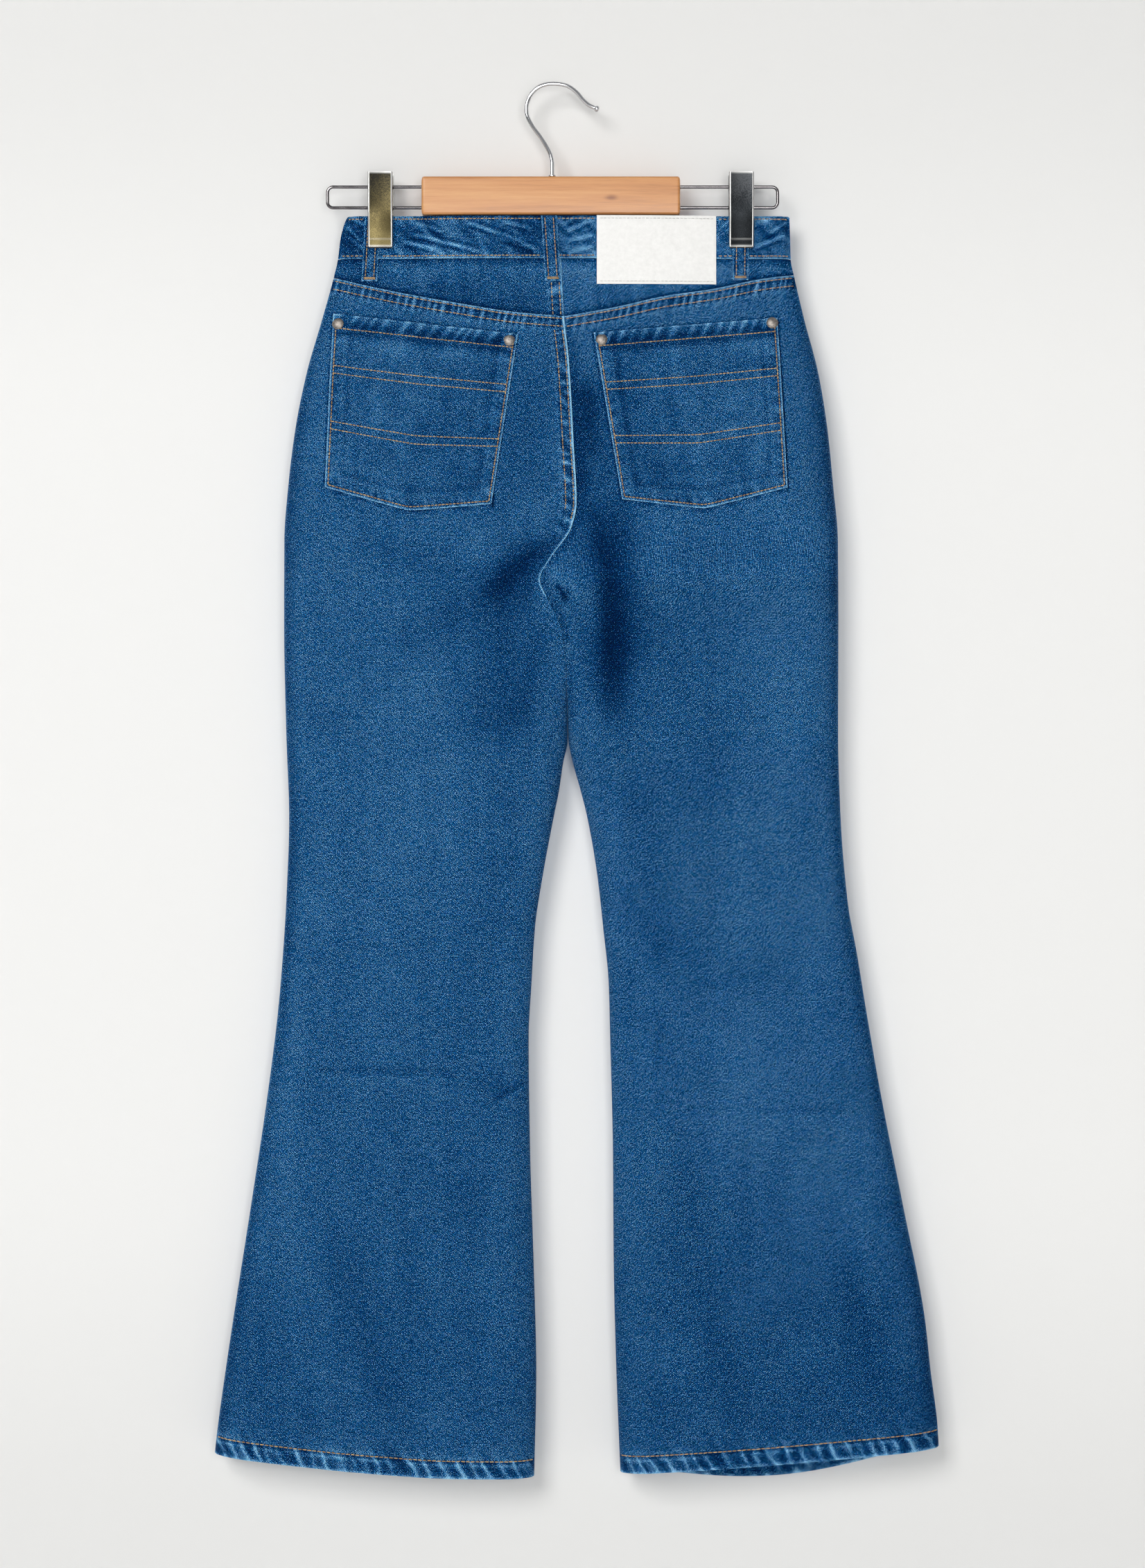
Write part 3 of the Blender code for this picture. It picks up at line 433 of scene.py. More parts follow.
def denimGroup():
    # Tone is the middle shade plus rubbing and painted shade, the sines of the twill lines and their floats,
    # warp streaks, speckle and slow clouds; the warp streaks also turn the hue a little.
    inputs = [("Vector", "Vector"), ("WearAndShading", "Float"), ("Shade", "Float")]
    group, entry, leave = newGroup("denimWeave", inputs)
    vector = entry["Vector"]
    place = newNode(group, "ShaderNodeSeparateXYZ", {"Vector": vector}).outputs
    wobble = stretchedNoise(group, vector, (260.0, 260.0, 1.0), 2.0)
    tilt = math.radians(denim["twillTilt"])
    parts = {
        "twill": lineWave(group, place, wobble, denim["twillPitch"], tilt - math.pi / 2.0, 8.0),
        "ticks": lineWave(group, place, wobble, denim["tickPitch"], tilt, -17.0),
        "warp": stretchedNoise(group, vector, (1150.0, 230.0, 1.0), 2.0),
        "weft": stretchedNoise(group, vector, (200.0, 950.0, 1.0), 2.0),
        "speckle": stretchedNoise(group, vector, (1750.0, 900.0, 1.0), 1.0, 0.7),
        "cloud": stretchedNoise(group, vector, (28.0, 22.0, 1.0), 4.0, 0.6),
        "wash": stretchedNoise(group, vector, (110.0, 90.0, 1.0), 3.0, 0.6),
    }
    tone = addUp(group, entry["Shade"], (entry["WearAndShading"], denim["wearAndShading"]),
                 *[(part, denim[name]) for name, part in parts.items()])
    hue = addUp(group, 0.4945, (parts["warp"], 0.06))
    colour = {"Hue": hue, "Color": rampNode(group, tone, denim["stops"])}
    height = mathNode(group, "MULTIPLY", parts["twill"], 0.5)
    plug(group, leave, {"Color": newNode(group, "ShaderNodeHueSaturation", colour).outputs["Color"],
                        "Roughness": addUp(group, 0.84, (parts["speckle"], 0.2)),
                        "Height": addUp(group, height, (parts["warp"], 0.8), (parts["speckle"], 0.9))})
    return group


def grainGroup():
    # Wood: long streaks along X, a dark knot and fine pores.
    group, entry, leave = newGroup("woodGrain", [("Vector", "Vector")])
    vector = entry["Vector"]
    around = {"Vector": vector, "Location": (-0.0223, 0.0, 0.0913), "Scale": (0.48, 0.3, 1.0)}
    around = newNode(group, "ShaderNodeMapping", around).outputs["Vector"]
    reach = newNode(group, "ShaderNodeVectorMath", {0: around}, operation="LENGTH").outputs["Value"]
    knot = rangeNode(group, reach, 0.0042, 0.0006)
    streak = stretchedNoise(group, vector, (14.0, 180.0, 420.0), 4.0, 0.6)
    broad = stretchedNoise(group, vector, (6.0, 40.0, 95.0), 3.0)
    pore = stretchedNoise(group, vector, (90.0, 900.0, 1600.0), 2.0)
    tone = addUp(group, 0.52, (streak, 0.6), (broad, 0.55), (pore, 0.24), (knot, -0.62))
    stops = [(0.0, (0.19, 0.060, 0.020)), (0.3, (0.40, 0.165, 0.057)), (0.52, (0.53, 0.238, 0.085)),
             (0.8, (0.61, 0.315, 0.124))]
    plug(group, leave, {"Color": rampNode(group, tone, stops), "Roughness": addUp(group, 0.42, (pore, 0.3)),
                        "Height": mathNode(group, "ADD", streak, pore)})
    return group


groups = {"denim": denimGroup(), "grain": grainGroup()}


def denimMaterial(name, shade):
    made, tree, shader = newMaterial(name, {"Specular IOR Level": 0.03})
    uv = newNode(tree, "ShaderNodeUVMap", uv_map="clothUv").outputs["UV"]
    weave = newNode(tree, "ShaderNodeGroup", node_tree=groups["denim"])
    plug(tree, weave, {"Vector": uv, "WearAndShading": wearAndShadingValue(tree), "Shade": shade})
    plug(tree, shader, {"Base Color": weave.outputs["Color"], "Roughness": weave.outputs["Roughness"],
                        "Normal": bumpNormal(tree, weave.outputs["Height"], 0.8, 0.0006)})
    return made


def threadMaterial(name, dark, light):
    made, tree, shader = newMaterial(name, {"Specular IOR Level": 0.3, "Roughness": 0.6})
    strand = stretchedNoise(tree, objectPlace(tree), (2200.0, 2200.0, 2200.0), 1.0)
    tone = mathNode(tree, "ADD", wearAndShadingValue(tree), strand)
    plug(tree, shader, {"Base Color": rampNode(tree, tone, [(0.0, dark), (1.0, light)]),
                        "Normal": bumpNormal(tree, strand, 0.5, 0.0002)})
    return made


def metalMaterial(name, dark, light, roughness, scale, bumpHeight):
    made, tree, shader = newMaterial(name, {"Metallic": 1.0})
    blotch = stretchedNoise(tree, objectPlace(tree), (scale, scale, scale), 3.0, 0.6)
    tone = mathNode(tree, "ADD", blotch, 0.5)
    plug(tree, shader, {"Base Color": rampNode(tree, tone, [(0.25, dark), (0.7, light)]),
                        "Roughness": addUp(tree, roughness, (blotch, roughness * 0.7)),
                        "Normal": bumpNormal(tree, blotch, 0.4, bumpHeight)})
    return made


def plateMaterial():
    # Polished plate with painted reflections of a dark room: brownish on the left clip and darkening towards
    # the top, smoky grey-black on the right and paling towards the top, with pale painted highlights at the
    # rims and ends.
    made, tree, shader = newMaterial("clipPlate", {"Metallic": 1.0})
    place = objectPlace(tree)
    parts = newNode(tree, "ShaderNodeSeparateXYZ", {"Vector": place}).outputs
    haze = stretchedNoise(tree, place, (60.0, 60.0, 22.0), 3.0)
    grit = stretchedNoise(tree, place, (1500.0, 1500.0, 1500.0), 2.0, 0.6)
    level = addUp(tree, rangeNode(tree, parts["Z"], -0.131, -0.071, "LINEAR"), (haze, 0.5), (grit, 1.5))
    leftReflection = rampNode(tree, level, [(0.0, (0.105, 0.085, 0.038)), (0.35, (0.072, 0.058, 0.027)),
                                    (0.62, (0.045, 0.038, 0.020)), (1.0, (0.016, 0.015, 0.012))])
    rightReflection = rampNode(tree, level, [(0.0, (0.005, 0.0055, 0.006)), (0.5, (0.014, 0.016, 0.018)),
                                   (1.0, (0.045, 0.048, 0.052))])
    plate = mixColours(tree, mathNode(tree, "GREATER_THAN", parts["X"], 0.0), leftReflection, rightReflection)
    # Pale where the jaw's point attribute is high: painted highlights along the rims and ends.
    plug(tree, shader, {"Base Color": mixColours(tree, wearAndShadingValue(tree), plate, (0.46, 0.46, 0.45, 1.0)),
                        "Roughness": addUp(tree, 0.36, (grit, 0.3)),
                        "Normal": bumpNormal(tree, grit, 0.2, 0.00005)})
    return made


def woodMaterial():
    made, tree, shader = newMaterial("varnishedWood", {"Coat Weight": 0.25, "Coat Roughness": 0.25})
    grain = newNode(tree, "ShaderNodeGroup", node_tree=groups["grain"])
    plug(tree, grain, {"Vector": objectPlace(tree)})
    plug(tree, shader, {"Base Color": grain.outputs["Color"], "Roughness": grain.outputs["Roughness"],
                        "Normal": bumpNormal(tree, grain.outputs["Height"], 0.25, 0.0002)})
    return made


def patchMaterial():
    made, tree, shader = newMaterial("whitePatch", {"Specular IOR Level": 0.35})
    crease = stretchedNoise(tree, objectPlace(tree), (300.0, 300.0, 300.0), 4.0, 0.6)
    stops = [(0.2, (0.71, 0.708, 0.695)), (0.8, (0.815, 0.812, 0.80))]
    plug(tree, shader, {"Base Color": rampNode(tree, mathNode(tree, "ADD", crease, 0.5), stops),
                        "Roughness": addUp(tree, 0.5, (crease, 0.2)),
                        "Normal": bumpNormal(tree, crease, 0.3, 0.0004)})
    return made


denimOuter = denimMaterial("denimOuter", 0.455)
denimInner = denimMaterial("denimInner", 0.86)
goldThread = threadMaterial("goldThread", (0.20, 0.115, 0.052), (0.57, 0.40, 0.205))
whiteThread = threadMaterial("whiteThread", (0.46, 0.46, 0.45), (0.74, 0.74, 0.72))
chrome = metalMaterial("chrome", (0.60, 0.60, 0.61), (0.72, 0.72, 0.73), 0.07, 160.0, 0.00001)
# The wires are chrome like the hook, given a dark colour as a painted reflection of a dark room.
wireChromeDarkReflection = metalMaterial("wireChromeDarkReflection", (0.13, 0.12, 0.125), (0.21, 0.20, 0.205), 0.13, 160.0, 0.00001)
agedMetal = metalMaterial("agedMetal", (0.13, 0.115, 0.105), (0.40, 0.365, 0.335), 0.52, 700.0, 0.0003)
clipPlate = plateMaterial()
wood = woodMaterial()
patch = patchMaterial()
rubber = newMaterial("clipRubber", {"Base Color": (0.02, 0.02, 0.022, 1.0), "Roughness": 0.7})[0]
print("materials ready")

seamGap = 0.3
halfGap = seamGap / 2.0
cloth = {
    "denim": 1.3, "waistband": 2.6, "facing": 1.0, "loop": 1.8, "label": 1.2,
    "outseamRound": 34.0, "inseamRound": 30.0, "frontFullness": 0.9, "crown": 0.12,
    "waistTop": -105.8, "waistSeam": -140.5, "waistBlend": (-128.0, -235.0), "inseamCloses": (-462.0, -532.0),
    "hemBand": 14.0, "felledBand": 11.5, "rowGauge": 6.35, "proud": 0.7, "lying": 0.35, "pocketLying": 0.6,
}
columnOf = {"left": 1, "right": 2}
inward = {"left": 1.0, "right": -1.0}           # way in X from a leg's side seam to its inseam
outward = {"back": -1.0, "front": 1.0}          # way in Y out of a face

# Outer side seams: height, left, right
outseams = [
    (-105.8, -166.6, 190.4), (-112.0, -169.4, 190.6), (-124.0, -172.4, 191.0), (-140.5, -174.5, 191.5),
    (-154.6, -177.7, 194.3), (-188.2, -187.0, 202.2), (-233.0, -199.9, 213.9), (-277.8, -208.9, 221.2),
    (-322.6, -214.5, 225.7), (-367.4, -217.8, 229.6), (-434.6, -218.0, 230.0), (-524.2, -216.2, 229.8),
    (-591.4, -213.9, 231.8), (-658.6, -216.2, 237.4), (-703.4, -219.0, 245.3), (-748.2, -222.9, 252.6),
    (-815.4, -231.3, 264.3), (-905.0, -244.7, 282.2), (-994.6, -258.7, 299.6), (-1039.4, -265.4, 304.6),
    (-1084.2, -271.6, 310.2), (-1124.0, -276.0, 312.0),
]
# Centre-back seam, then where the legs touch, then each inseam: height, left leg, right leg
backInseams = [
    (-105.8, 4.0, 4.0), (-140.5, 6.0, 6.0), (-187.6, 8.4, 8.4), (-223.4, 12.3, 12.3), (-291.8, 16.2, 16.2),
    (-338.2, 18.5, 18.5), (-357.8, 14.6, 14.6), (-383.6, -2.8, -2.8), (-400.0, -11.0, -11.0),
    (-419.4, -2.8, -2.8), (-439.6, 6.2, 6.2), (-476.6, 10.1, 10.1), (-529.0, 11.3, 11.7),
    (-546.6, 7.8, 15.1), (-569.0, 4.5, 21.3), (-591.4, 0.0, 26.9), (-636.2, -8.4, 34.7),
    (-681.0, -15.1, 39.8), (-725.8, -17.9, 44.2), (-770.6, -20.2, 45.4), (-860.2, -19.0, 47.6),
    (-949.8, -16.2, 48.2), (-1039.4, -14.0, 50.4), (-1124.0, -15.7, 53.8),
]
# Centre-front seam down to the crotch: height, left leg, right leg
frontRise = [
    (-105.8, 4.0, 4.0), (-140.5, 6.0, 6.0), (-300.0, 8.0, 8.0), (-400.0, 2.0, 2.0), (-439.6, 6.2, 6.2),
]
# Half depth of the legs: height, half depth
halfDepths = [
    (-140.5, 8.0), (-230.0, 16.5), (-300.0, 21.0), (-380.0, 23.0), (-450.0, 22.0), (-600.0, 18.5),
    (-750.0, 16.5), (-900.0, 17.0), (-1000.0, 19.0), (-1124.0, 21.5),
]
# Half depth at the waist: share of the way from side seam to centre, half depth
waistDepths = [
    (0.0, 0.15), (0.03, 2.7), (0.08, 3.2), (0.12, 3.1), (0.28, 3.1), (0.42, 5.2), (0.62, 7.4), (0.82, 8.0),
    (1.0, 8.2),
]
# Yoke seam and hem: share of the way from side seam to centre or inseam, left height, right height
yokeSeam = [
    (0.0, -155.7, -153.4), (0.15, -162.0, -157.0), (0.36, -170.0, -165.0), (0.58, -177.5, -171.5),
    (0.78, -183.7, -180.0), (1.0, -187.6, -187.6),
]
hemLine = [
    (0.0, -1104.5, -1099.2), (0.25, -1112.0, -1105.2), (0.5, -1118.2, -1110.8), (0.75, -1122.4, -1115.8),
    (1.0, -1123.2, -1119.8),
]
frontHemDrop = {"left": -3.4, "right": -15.4}    # at the middle of each hem
scoop = {"share": 0.42, "drop": 75.0, "margin": 20.0}    # width as a share of the front, depth, facing below it
# Soft folds and creases on each face and leg: start x and height, end x and height, half width, depth inwards
folds = {
    ("back", "left"): [
        (-8.0, -375.0, -42.0, -425.0, 13.0, 5.5), (-60.0, -800.0, -20.0, -815.0, 12.0, 2.5),
    ],
    ("back", "right"): [
        (49.0, -345.0, 52.0, -530.0, 14.0, 3.4), (36.0, -350.0, 39.0, -540.0, 9.0, -1.8),
    ],
    ("front", "left"): [
        (-12.0, -385.0, -70.0, -440.0, 16.0, 4.0),
    ],
    ("front", "right"): [
        (22.0, -385.0, 84.0, -435.0, 16.0, 4.0),
    ],
}
creases = {
    ("back", "right"): [
        (3.0, -402.0, 10.0, -418.0, 2.8, 1.5), (24.0, -392.0, 34.0, -436.0, 8.0, -1.8),
        (30.0, -235.0, 44.0, -330.0, 9.0, 1.8), (22.0, -250.0, 30.0, -345.0, 7.0, -1.2),
        (148.0, -829.0, 246.0, -826.0, 4.0, 0.5), (150.0, -836.0, 240.0, -833.0, 5.0, -0.4),
        (90.0, -380.0, 190.0, -372.0, 14.0, 0.8), (70.0, -560.0, 88.0, -720.0, 16.0, 1.1),
        (120.0, -960.0, 150.0, -1085.0, 15.0, 1.0), (230.0, -930.0, 262.0, -1070.0, 14.0, 1.0),
    ],
    ("back", "left"): [
        (-36.0, -372.0, -78.0, -430.0, 9.0, -1.6), (-51.0, -821.0, -20.0, -803.0, 3.6, 1.7),
        (-46.0, -828.0, -22.0, -814.0, 5.0, -1.0), (-218.0, -793.0, -60.0, -797.0, 4.0, 0.55),
        (-210.0, -801.0, -70.0, -804.0, 5.0, -0.45), (-150.0, -372.0, -60.0, -395.0, 12.0, 0.9),
        (-30.0, -560.0, -44.0, -700.0, 14.0, 1.0), (-180.0, -930.0, -120.0, -1090.0, 16.0, 1.1),
        (-70.0, -980.0, -50.0, -1095.0, 14.0, 0.9),
    ],
    ("front", "left"): [
        (-10.0, -392.0, -40.0, -470.0, 8.0, -1.6), (-180.0, -560.0, -70.0, -585.0, 14.0, 1.2),
        (-215.0, -795.0, -90.0, -800.0, 5.0, 0.6), (-130.0, -900.0, -100.0, -1080.0, 16.0, 1.0),
    ],
    ("front", "right"): [
        (20.0, -392.0, 52.0, -468.0, 8.0, -1.6), (80.0, -580.0, 190.0, -560.0, 14.0, 1.2),
        (120.0, -828.0, 240.0, -824.0, 5.0, 0.6), (170.0, -900.0, 190.0, -1080.0, 16.0, 1.0),
    ],
}
# Pressed creases of the waistband's back: start x and height, end x and height, half width, height
bandCreases = [
    (-168.0, -113.5, -155.0, -127.0, 1.6, 0.75), (-160.0, -109.0, -146.0, -117.0, 1.5, 0.5),
    (-163.0, -124.0, -150.0, -136.0, 1.8, 0.6), (-124.0, -126.0, -92.0, -134.0, 1.7, 0.8),
    (-121.0, -118.5, -66.0, -133.5, 1.5, 0.75), (-112.0, -111.0, -88.0, -119.5, 1.6, 0.5),
    (-78.0, -109.0, -17.0, -129.5, 1.5, 0.85), (-88.0, -127.0, -54.0, -137.0, 1.6, 0.6),
    (-50.0, -122.0, -11.0, -134.0, 1.6, 0.7), (-44.0, -110.0, -14.0, -117.5, 1.4, 0.6),
    (9.0, -119.5, 32.0, -109.0, 1.4, 0.75), (9.0, -127.0, 34.0, -121.5, 1.6, 0.65),
    (8.0, -113.0, 18.0, -107.0, 1.4, 0.5), (12.0, -136.0, 34.0, -130.0, 1.5, 0.6),
    (133.0, -118.0, 143.0, -108.0, 1.5, 0.7), (160.0, -132.0, 188.0, -121.0, 1.7, 0.8),
    (161.0, -112.0, 176.0, -108.0, 1.4, 0.5), (172.0, -121.0, 190.0, -109.5, 1.9, 0.6),
]
# Painted shade and highlight on the back's folds, valleys and ridges: start x and height, end x and height,
# half width, strength
paintedShadeMarks = {
    "left": [
        (-4.0, -370.0, -56.0, -414.0, 9.0, -0.34), (-20.0, -372.0, -92.0, -432.0, 15.0, -0.12),
        (-70.0, -424.0, -120.0, -448.0, 16.0, -0.08), (-30.0, -352.0, -82.0, -398.0, 12.0, 0.10),
        (-4.0, -430.0, -30.0, -520.0, 12.0, -0.16), (-50.0, -821.0, -20.0, -802.0, 1.9, -0.34),
        (-48.0, -825.0, -23.0, -808.0, 2.4, 0.16), (-216.0, -794.5, -52.0, -797.0, 2.8, -0.13),
        (-216.0, -799.5, -60.0, -802.0, 2.8, 0.06), (-30.0, -375.0, -40.0, -530.0, 30.0, -0.19),
        (-110.0, -850.0, -120.0, -990.0, 45.0, -0.07), (-75.0, -640.0, -70.0, -950.0, 34.0, -0.06),
        (-36.0, -392.0, -100.0, -450.0, 26.0, -0.09), (-60.0, -560.0, -50.0, -1000.0, 30.0, -0.08),
        (2.0, -350.0, 0.0, -400.0, 9.0, -0.14), (-205.0, -240.0, -212.0, -420.0, 9.0, -0.10),
        (-34.0, -215.0, -32.0, -330.0, 17.0, -0.16), (-52.0, -440.0, -52.0, -520.0, 18.0, -0.08),
        (-10.0, -225.0, -10.0, -335.0, 12.0, -0.14), (-120.0, -640.0, -130.0, -1000.0, 50.0, -0.05),
    ],
    "right": [
        (25.0, -236.0, 25.0, -338.0, 8.0, -0.36), (28.0, -335.0, 42.0, -392.0, 8.0, -0.20),
        (46.0, -385.0, 47.0, -515.0, 8.0, -0.12), (31.0, -378.0, 35.0, -470.0, 6.5, 0.10),
        (3.0, -404.0, 10.0, -417.0, 1.9, -0.6), (9.0, -417.0, 12.5, -408.0, 1.6, -0.5),
        (12.0, -398.0, 20.0, -418.0, 3.0, 0.2), (4.0, -424.0, 12.0, -452.0, 2.6, -0.34),
        (12.0, -455.0, 15.0, -520.0, 3.5, -0.16), (-2.0, -390.0, 6.0, -404.0, 3.0, 0.2),
        (150.0, -828.0, 246.0, -825.5, 2.8, -0.10), (150.0, -833.5, 240.0, -831.0, 2.8, 0.05),
        (14.0, -225.0, 12.0, -352.0, 13.0, -0.14), (130.0, -735.0, 180.0, -722.0, 26.0, -0.09),
        (47.0, -325.0, 56.0, -480.0, 20.0, -0.36), (54.0, -430.0, 62.0, -580.0, 26.0, -0.14),
        (100.0, -600.0, 104.0, -1000.0, 34.0, -0.07), (222.0, -240.0, 228.0, -440.0, 9.0, -0.12),
        (4.0, -215.0, 4.0, -370.0, 19.0, -0.20), (34.0, -350.0, 44.0, -500.0, 17.0, -0.26),
        (30.0, -240.0, 32.0, -300.0, 12.0, -0.14), (38.0, -440.0, 46.0, -510.0, 12.0, -0.16),
        (105.0, -420.0, 120.0, -600.0, 40.0, -0.09),
    ],
}


def outerEdge(leg, z):
    return readTable(outseams, columnOf[leg], z)


def innerEdge(leg, face, z):                    # centre seam above the crotch, inseam below it
    edge = readTable(backInseams, columnOf[leg], z)
    if face == "front":
        edge = np.where(z > frontRise[-1][0], readTable(frontRise, columnOf[leg], z), edge)
    return edge - inward[leg] * halfGap


def acrossLeg(leg, face, z, share):             # x at a share of the way between those two
    outer = outerEdge(leg, z)
    return outer + (innerEdge(leg, face, z) - outer) * share


def shareOf(leg, face, x, z):
    outer = outerEdge(leg, z)
    return np.clip((x - outer) / (innerEdge(leg, face, z) - outer), 0.0, 1.0)


def hemAt(leg, face, share):                    # the front hangs a little lower in the middle
    drop = frontHemDrop[leg] * np.sin(math.pi * share) ** 1.3 if face == "front" else 0.0
    return readTable(hemLine, columnOf[leg], share) + drop


def foldDepth(lines, x, z):
    # Each fold is a trough with a bell section along a line, fading at its two ends.
    total = np.zeros(np.broadcast(x, z).shape)
    for x0, z0, x1, z1, width, depth in lines:
        dx = x1 - x0
        dz = z1 - z0
        length = math.hypot(dx, dz)
        share = ((x - x0) * dx + (z - z0) * dz) / length ** 2
        side = ((x - x0) * dz - (z - z0) * dx) / length
        ends = np.exp(-(np.clip(np.abs(share - 0.5) - 0.32, 0.0, None) * length / (1.4 * width)) ** 2)
        total = total + depth * ends * bump(side, width)
    return total


def quarterRise(distance, reach):               # quarter of an ellipse: 0 at the edge, 1 from the reach on
    return np.sqrt(1.0 - (1.0 - np.clip(np.abs(distance) / reach, 0.0, 1.0)) ** 2)


def halfDepth(leg, face, x, z):
    # Plateau with quarter-ellipse sides, crowned across a leg, eased into the nipped waist.
    share = shareOf(leg, face, x, z)
    closed = smoothStep(*cloth["inseamCloses"], z)
    innerRound = quarterRise(x - innerEdge(leg, face, z), cloth["inseamRound"])
    rounding = quarterRise(x - outerEdge(leg, z), cloth["outseamRound"]) * (1.0 + closed * (innerRound - 1.0))
    crown = 1.0 - cloth["crown"] * closed * (1.0 - np.sin(math.pi * share))
    full = readTable(halfDepths, 1, z) * (cloth["frontFullness"] if face == "front" else 1.0)
    body = halfGap + (full - halfGap) * rounding * crown
    nipped = readTable(waistDepths, 1, share)
    return nipped + (body - nipped) * smoothStep(*cloth["waistBlend"], z)


def edgeFade(leg, face, x, z):                  # folds die away at the side seams
    outer = np.abs(x - outerEdge(leg, z))
    inner = np.abs(x - innerEdge(leg, face, z))
    closed = smoothStep(*cloth["inseamCloses"], z)
    return smoothStep(0.0, 40.0, outer) * (1.0 + closed * (smoothStep(0.0, 28.0, inner) - 1.0))


def foldedDepth(leg, face, x, z):
    return halfDepth(leg, face, x, z) - foldDepth(folds[face, leg], x, z) * edgeFade(leg, face, x, z)


def seamPuckers(along, spacing, seed):          # uneven wave along a seam, -1 to 1
    wave = noiseLine(along / spacing, seed) + 0.5 * noiseLine(along / (spacing * 0.43), seed + 1)
    return np.clip(wave, -1.0, 1.0)


def lightBars(along, spacing, seed, width):     # narrow ridges, a little uneven in place and strength
    phase = along / spacing + 0.55 * noiseLine(along / (1.9 * spacing), seed)
    offset = phase - np.floor(phase) - 0.5
    return bump(offset, width) * (0.7 + 0.3 * noiseLine(np.floor(phase) * 1.37, seed + 1))


def felledSeam(across, along, seed):
    # A lapped seam: raised flat band, light worn edge, light and dark puckers between its two stitch rows,
    # painted shadow past the band's edge and painted shade in the grooves of the rows.
    width = cloth["felledBand"]
    raised = 0.95 * (1.0 - smoothStep(width - 1.5, width + 1.5, across)) * (across >= 0.0)
    bars = lightBars(along + 0.25 * across, 6.0, seed, 0.23)
    loose = noiseLine(along / 21.0, seed + 4)
    between = band(across, 1.2, 9.4, 0.9)
    below = band(across, 9.4, width + 1.0, 1.5) + 0.35 * band(across, width, width + 5.0, 5.0)
    stitchDip = bump(across - 2.2, 0.8) + bump(across - 8.55, 0.8)
    height = raised + (0.45 * bars - 0.15) * between + 0.3 * bars * below - 0.25 * stitchDip
    wearAndShading = (1.2 + 0.2 * loose) * bump(across - 0.2, 0.95)
    wearAndShading = wearAndShading + between * (1.9 * bars - 0.62) * (0.8 + 0.4 * loose) + below * (0.45 * bars - 0.10)
    # Paler along the band's far edge; painted shadow just past its worn edge, and below, painted shade in the
    # grooves beside both stitch rows.
    wearAndShading = wearAndShading + 0.14 * bump(across - width, 1.8) - 0.55 * bump(across + 1.6, 1.5)
    wearAndShading = wearAndShading - 0.30 * (bump(across - 3.3, 0.8) + bump(across - 9.7, 0.9))
    return height, wearAndShading


def hemRelief(above, along, seed):
    # Turned hem: raised band, pale slanted ropes with dark cores between, pale fold, a stitch row at its top
    # with painted shade in its groove and a painted shadow under it.
    width = cloth["hemBand"]
    fromStitch = above - width
    inside = band(above, -2.0, width, 1.0)
    bend = 2.0 * noiseLine(along / 14.0, seed + 11)
    slant = along + 0.5 * above + bend + 0.8 * noiseLine(above / 3.0 + along / 40.0, seed + 12)
    ropes = seamPuckers(slant, 6.5, seed)
    bars = lightBars(slant, 11.5, seed + 3, 0.11)
    cores = lightBars(slant + 5.75, 11.5, seed + 3, 0.24) * bump(above - 0.42 * width, 0.36 * width)
    mottle = noiseCloud(slant / 4.0, (above + 0.3 * along) / 5.0, seed + 9)
    beyond = band(above, width, width + 7.0, 6.0)
    height = inside * (0.55 + 0.2 * ropes + 0.6 * bars) + 0.3 * beyond * ropes - 0.25 * bump(fromStitch, 0.9)
    wearAndShading = 1.3 * bars * (0.8 + 0.4 * mottle) - 0.60 * cores + 0.12 * ropes + 0.20 * mottle + 0.04
    # Pale fold at the hem's edge; painted shadow just under the stitch row.
    wearAndShading = inside * wearAndShading + 1.2 * bump(above, 1.5) * (0.6 + 0.4 * mottle) - 0.45 * bump(fromStitch + 1.3, 0.9)
    wearAndShading = wearAndShading + 0.5 * bump(fromStitch + 3.4, 1.3) * (0.45 + 0.55 * ropes)
    wearAndShading = wearAndShading + 0.45 * bump(fromStitch - 1.9, 1.1) * (0.45 + 0.55 * ropes)
    # Painted shade in the stitch row's groove.
    wearAndShading = wearAndShading - 0.3 * bump(fromStitch - 0.3, 0.7)
    return height, wearAndShading + beyond * (0.2 * bars + 0.1 * ropes)


# Corners of the pockets: top left, top right, low right, low left
pockets = {
    "left": ((-177.2, -185.8), (-28.8, -202.8), (-50.0, -339.8), (-183.4, -326.3)),
    "right": ((32.2, -201.6), (179.8, -189.1), (187.5, -326.5), (55.0, -336.0)),
}
pocketShape = {"width": 148.0, "height": 146.0, "point": 12.5, "mouthBand": 12.0, "edgeStitch": 2.6,
               "rows": (0.30, 0.62)}


def besidePocket(leg, x, z):
    # Distances outside the pocket, negative inside: to the right or past its ends, all round, to the right.
    topLeft, topRight, lowRight, lowLeft = pockets[leg]
    down = np.clip((topLeft[1] - z) / (topLeft[1] - lowLeft[1]), 0.0, 1.0)
    left = topLeft[0] + (lowLeft[0] - topLeft[0]) * down
    right = topRight[0] + (lowRight[0] - topRight[0]) * down
    share = np.clip((x - left) / (right - left), 0.0, 1.0)
    top = topLeft[1] + (topRight[1] - topLeft[1]) * share
    low = lowLeft[1] + (lowRight[1] - lowLeft[1]) * share
    low = low - pocketShape["point"] * (1.0 - np.abs(2.0 * share - 1.0))
    ends = np.maximum(z - top, low - z)
    return np.maximum(x - right, ends), np.maximum(np.maximum(x - right, left - x), ends), x - right


